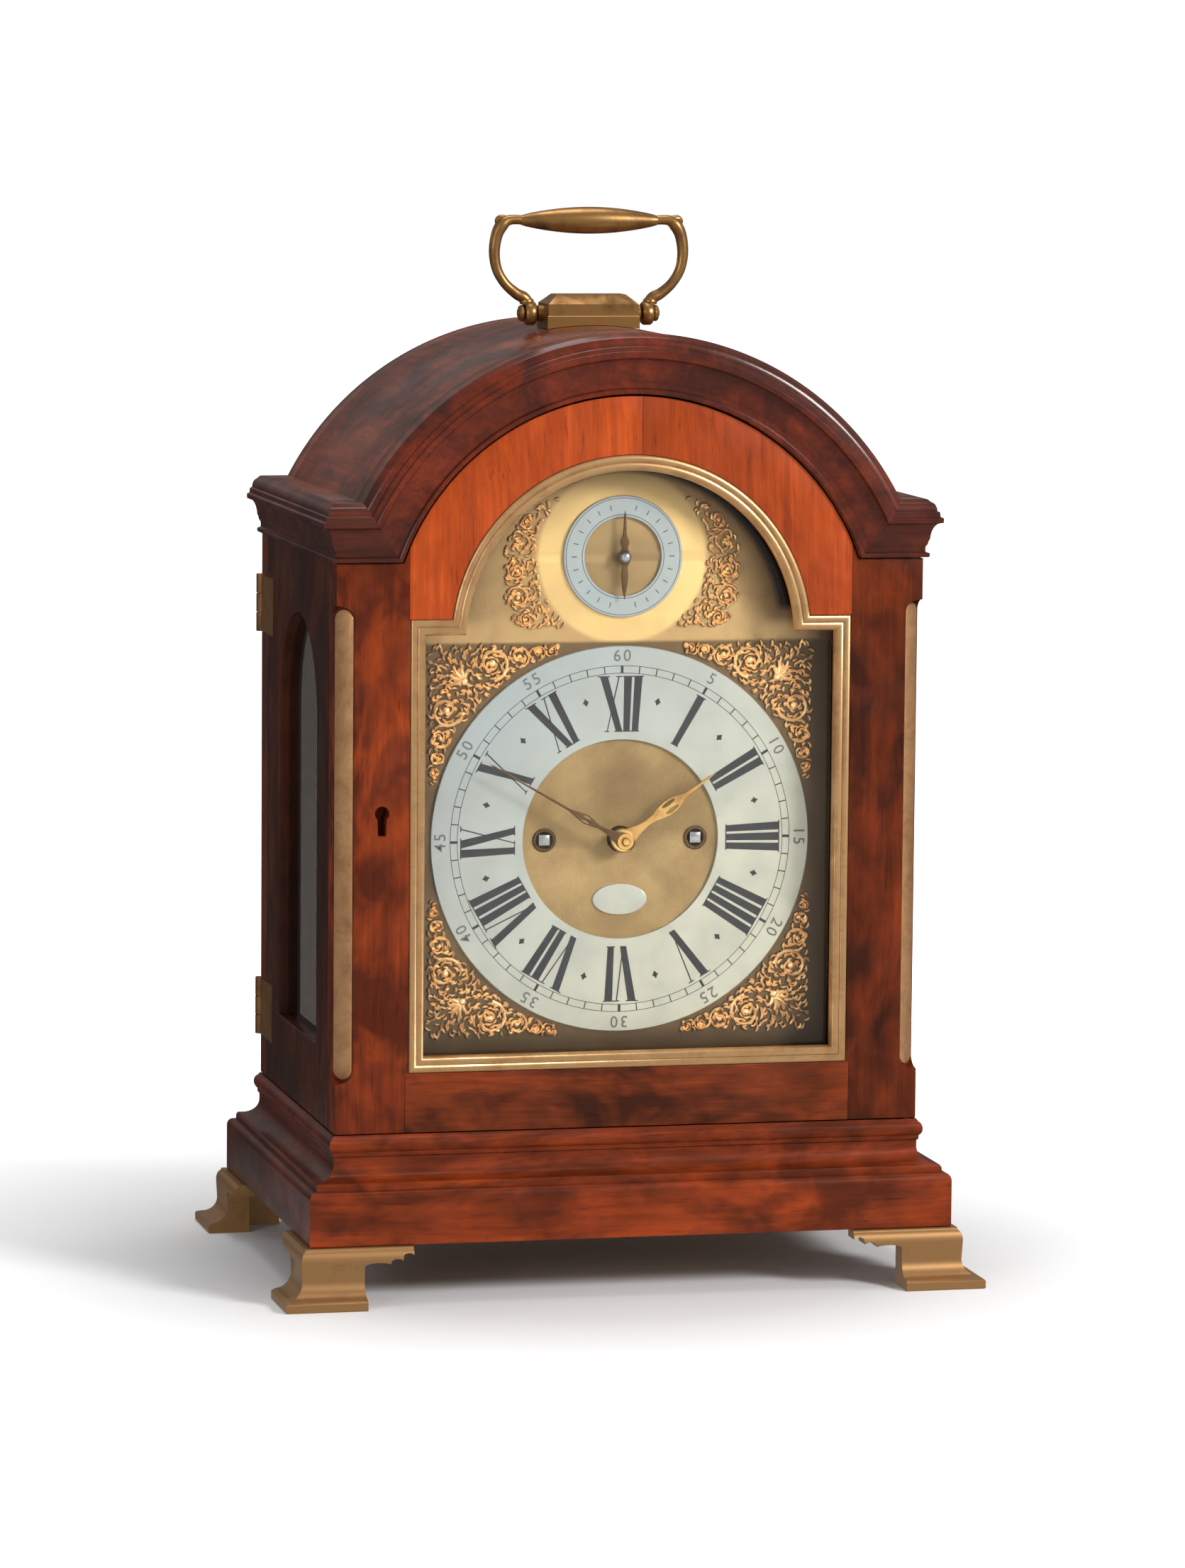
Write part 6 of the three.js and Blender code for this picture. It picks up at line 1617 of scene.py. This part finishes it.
def addPad():
    # a chamfered block that sits on the curved roof, with the two pins that the handle swings on
    h = handleLook
    x0, y0 = h["padHalfX"], h["padHalfY"]
    top = h["axis"] + h["padTop"]
    roofRadius = clock["archOuter"] - roofLook["gap"] + h["seat"]
    flange, flangeTop, chamfer = h["flange"], h["flangeTop"], h["chamfer"]
    under = top - h["chamferDrop"]
    steps = 24
    outline = [(-x0 + 2 * x0 * k / steps, -y0) for k in range(steps + 1)]
    outline += [(x0 - 2 * x0 * k / steps, y0) for k in range(steps + 1)]
    count = len(outline)

    def ring(off, height):
        # the outline grown by off, at a height that may change across
        grown = [(x * (x0 + off) / x0, y * (y0 + off) / y0) for x, y in outline]
        return [(x, y, height(x)) for x, y in grown]
    rows = [ring(flange, lambda x: clock["archCentre"] + math.sqrt(roofRadius ** 2 - x ** 2))]
    for off, z in ((flange, flangeTop - 0.3), (flange - 0.3, flangeTop), (0.0, flangeTop),
                   (0.0, under - 0.3), (-0.3, under), (0.3 - chamfer, top - 0.25), (-chamfer, top)):
        rows.append(ring(off, lambda x, z=z: z))
    points, faces = gridForm(rows)
    for k in range(steps):
        back = count - 1 - k
        faces.append([k, k + 1, back - 1, back])
    faces.append([len(points) - count + k for k in range(count)])
    pile = Pile()
    pile.add(points, faces)
    reach = h["eye"] + h["eyeWidth"] / 2
    pin = [(0, x0 - 2), (3.4, x0 - 2), (3.4, x0 + 2.4), (3.0, x0 + 3.0), (2.0, x0 + 3.2),
           (2.0, reach + 0.3), (3.0, reach + 0.35), (3.4, reach + 0.8), (3.4, reach + 1.8),
           (2.9, reach + 2.4), (1.6, reach + 2.6), (1.4, reach + 3.0), (0, reach + 3.2)]
    for sx in (-1, 1):
        pile.add(*turnedForm([(r, sx * a) for r, a in pin], "x", (0, 0, h["axis"]), 36))
    pile.piece("handle_pad_casting", metalOf["castBrass"], "case", "cast_brass", ("handle_pad",), 30)


addHandle()
addPad()
print("handle made")


# hands, drawn pointing up from the hub: half outlines, then holes as (x, height, half width, half
# height, points), and how far each stands in front of the rings

handLook = {
    "thickness": 1.0, "edge": 0.22,
    # the minute hand is gilt; its dark brass is painted shade
    "minute": {"angle": 300, "front": 8.6, "finish": "darkBrass", "hole": (0.95, 19.0, 0.4, 2.0, 14),
               "outline": [(0, 66.0), (0.3, 64), (0.45, 40), (0.6, 27), (1.5, 22.5), (2.0, 19),
                           (1.4, 15.5), (0.75, 13), (1.0, 9), (1.7, 6.5), (2.9, 2.2), (2.9, -2.2),
                           (1.7, -4.0), (0, -4.4)]},
    "hour": {"angle": 55, "front": 5.0, "finish": "handBrass", "hole": (1.5, 24.0, 0.7, 3.2, 18),
             "outline": [(0, 47.0), (0.45, 44), (0.7, 36), (1.0, 32), (2.1, 29), (3.0, 25.5), (3.1, 22.5),
                         (2.5, 19), (1.5, 16), (1.2, 12), (1.9, 8), (3.6, 2.6), (3.6, -2.6), (2.2, -4.6),
                         (0, -5.0)]},
    "silent": {"angle": 0, "front": 3.4, "finish": "darkBrass",
               "outline": [(0, 19.0), (0.4, 17), (0.8, 9), (1.9, 6.2), (1.2, 3.6), (2.4, 1.6), (2.4, -1.6),
                           (1.1, -4), (1.5, -8), (0.9, -13), (0, -17.5)]},
    "teeth": 60, "root": 12.9, "tip": 14.0, "wheelThick": 2.0, "wheelGap": 2.2, "pipe": 24.0,
}


def addHand(name, centre):
    # turned clockwise to its angle; gives back where its front stands
    look = handLook[name]
    front = clock["ringFace"] - look["front"]
    rings = [look["outline"] + [(-x, z) for x, z in reversed(look["outline"]) if x]]
    if "hole" in look:
        x0, z0, wide, high, count = look["hole"]
        rings += [[(sx * (x0 + wide * math.cos(a)), z0 + high * math.sin(a))
                   for a in [2 * math.pi * k / count for k in range(count)]] for sx in (-1, 1)]
    a = math.radians(look["angle"])
    turned = [[(x * math.cos(a) + z * math.sin(a), centre - x * math.sin(a) + z * math.cos(a))
               for x, z in ring] for ring in rings]
    cutOut(name + "_hand_blade", turned, front, front + handLook["thickness"], "y",
           metalOf[look["finish"]], name + "_hand", "gilt_brass", (name + "_hand",), handLook["edge"])
    return front


def hubForm(front, centre, profile, segments=40):
    # a turned form on a hand's arbor; the profile gives (radius, distance behind the hand's front)
    return turnedForm([(radius, front + back) for radius, back in profile], "y", (0, 0, centre), segments)


def hourWheel(centre):
    look = handLook
    root, tip = look["root"], look["tip"]
    wheelBack = boxOf("front_plate")[0][1] - look["wheelGap"]
    wheel = []
    for k in range(look["teeth"]):
        for part, radius in ((0.0, root), (0.3, tip), (0.5, tip), (0.8, root)):
            a = 2 * math.pi * (k + part) / look["teeth"]
            wheel.append((radius * math.cos(a), centre + radius * math.sin(a)))
    wheelFront = wheelBack - look["wheelThick"]
    return cappedForm([[(x, y, z) for x, z in wheel] for y in (wheelFront, wheelBack)])


def addHands():
    centre, strike, pipe = clock["dialCentre"], clock["strikeCentre"], handLook["pipe"]
    minuteFront = addHand("minute", centre)
    hourFront = addHand("hour", centre)
    pile = Pile()
    pile.add(*hubForm(minuteFront, centre, [(0, -2.1), (1.3, -1.9), (1.9, -1.2), (2.0, -0.6),
                                            (3.3, -0.5), (3.6, -0.1), (3.6, 1.4), (0, 1.5)]))
    pile.piece("minute_hand_boss", metalOf["handBrass"], "minute_hand", "gilt_brass", (), 40)
    pile = Pile()
    pile.add(*hubForm(hourFront, centre, [(2.6, -0.7), (4.4, -0.6), (4.9, -0.1), (4.9, 1.5),
                                          (4.2, 1.6), (4.2, pipe), (2.6, pipe), (2.6, -0.7)]))
    pile.add(*hourWheel(centre))
    pile.piece("hour_wheel_and_pipe", metalOf["movementBrass"], "hour_hand", "movement_brass", (), 30)
    front = addHand("silent", strike)
    tail = plateBox[0][1] + 5.4 - front
    pile = Pile()
    pile.add(*hubForm(front, strike, [(0, -2.6), (1.4, -2.4), (2.3, -1.6), (2.6, -0.7), (2.6, 1.2),
                                      (1.5, 1.3), (1.5, tail), (0, tail)], 32))
    pile.piece("silent_hand_boss", metalOf["steel"], "silent_hand", "steel", (), 40)


addHands()
print("hands made")


# finishes of the solids that show as they are

dress(wood["oak"], "base_board", "seatboard")
dress(wood["mask"], "dial_mask")
dress(wood["rearDoor"], "rear_door")
dress(rearShadeTintedGlass, "rear_glass")
dress(metalOf["hingeBrass"], "front_hinge_upper", "front_hinge_lower", "rear_hinge_upper",
      "rear_hinge_lower", "rear_leaf_upper", "rear_leaf_lower")
dress(metalOf["castBrass"], "rear_catch", "front_lock")
dress(metalOf["steel"], "lock_bolt", "bell_stand", "hammer")
dress(metalOf["movementBrass"], "centre_wheel", "front_plate", "back_plate", "going_fusee",
      "strike_fusee", "going_barrel", "strike_barrel", "escape_wheel", "pendulum", "back_cock")
dress(metalOf["bellMetal"], "bell")
print("solids finished")
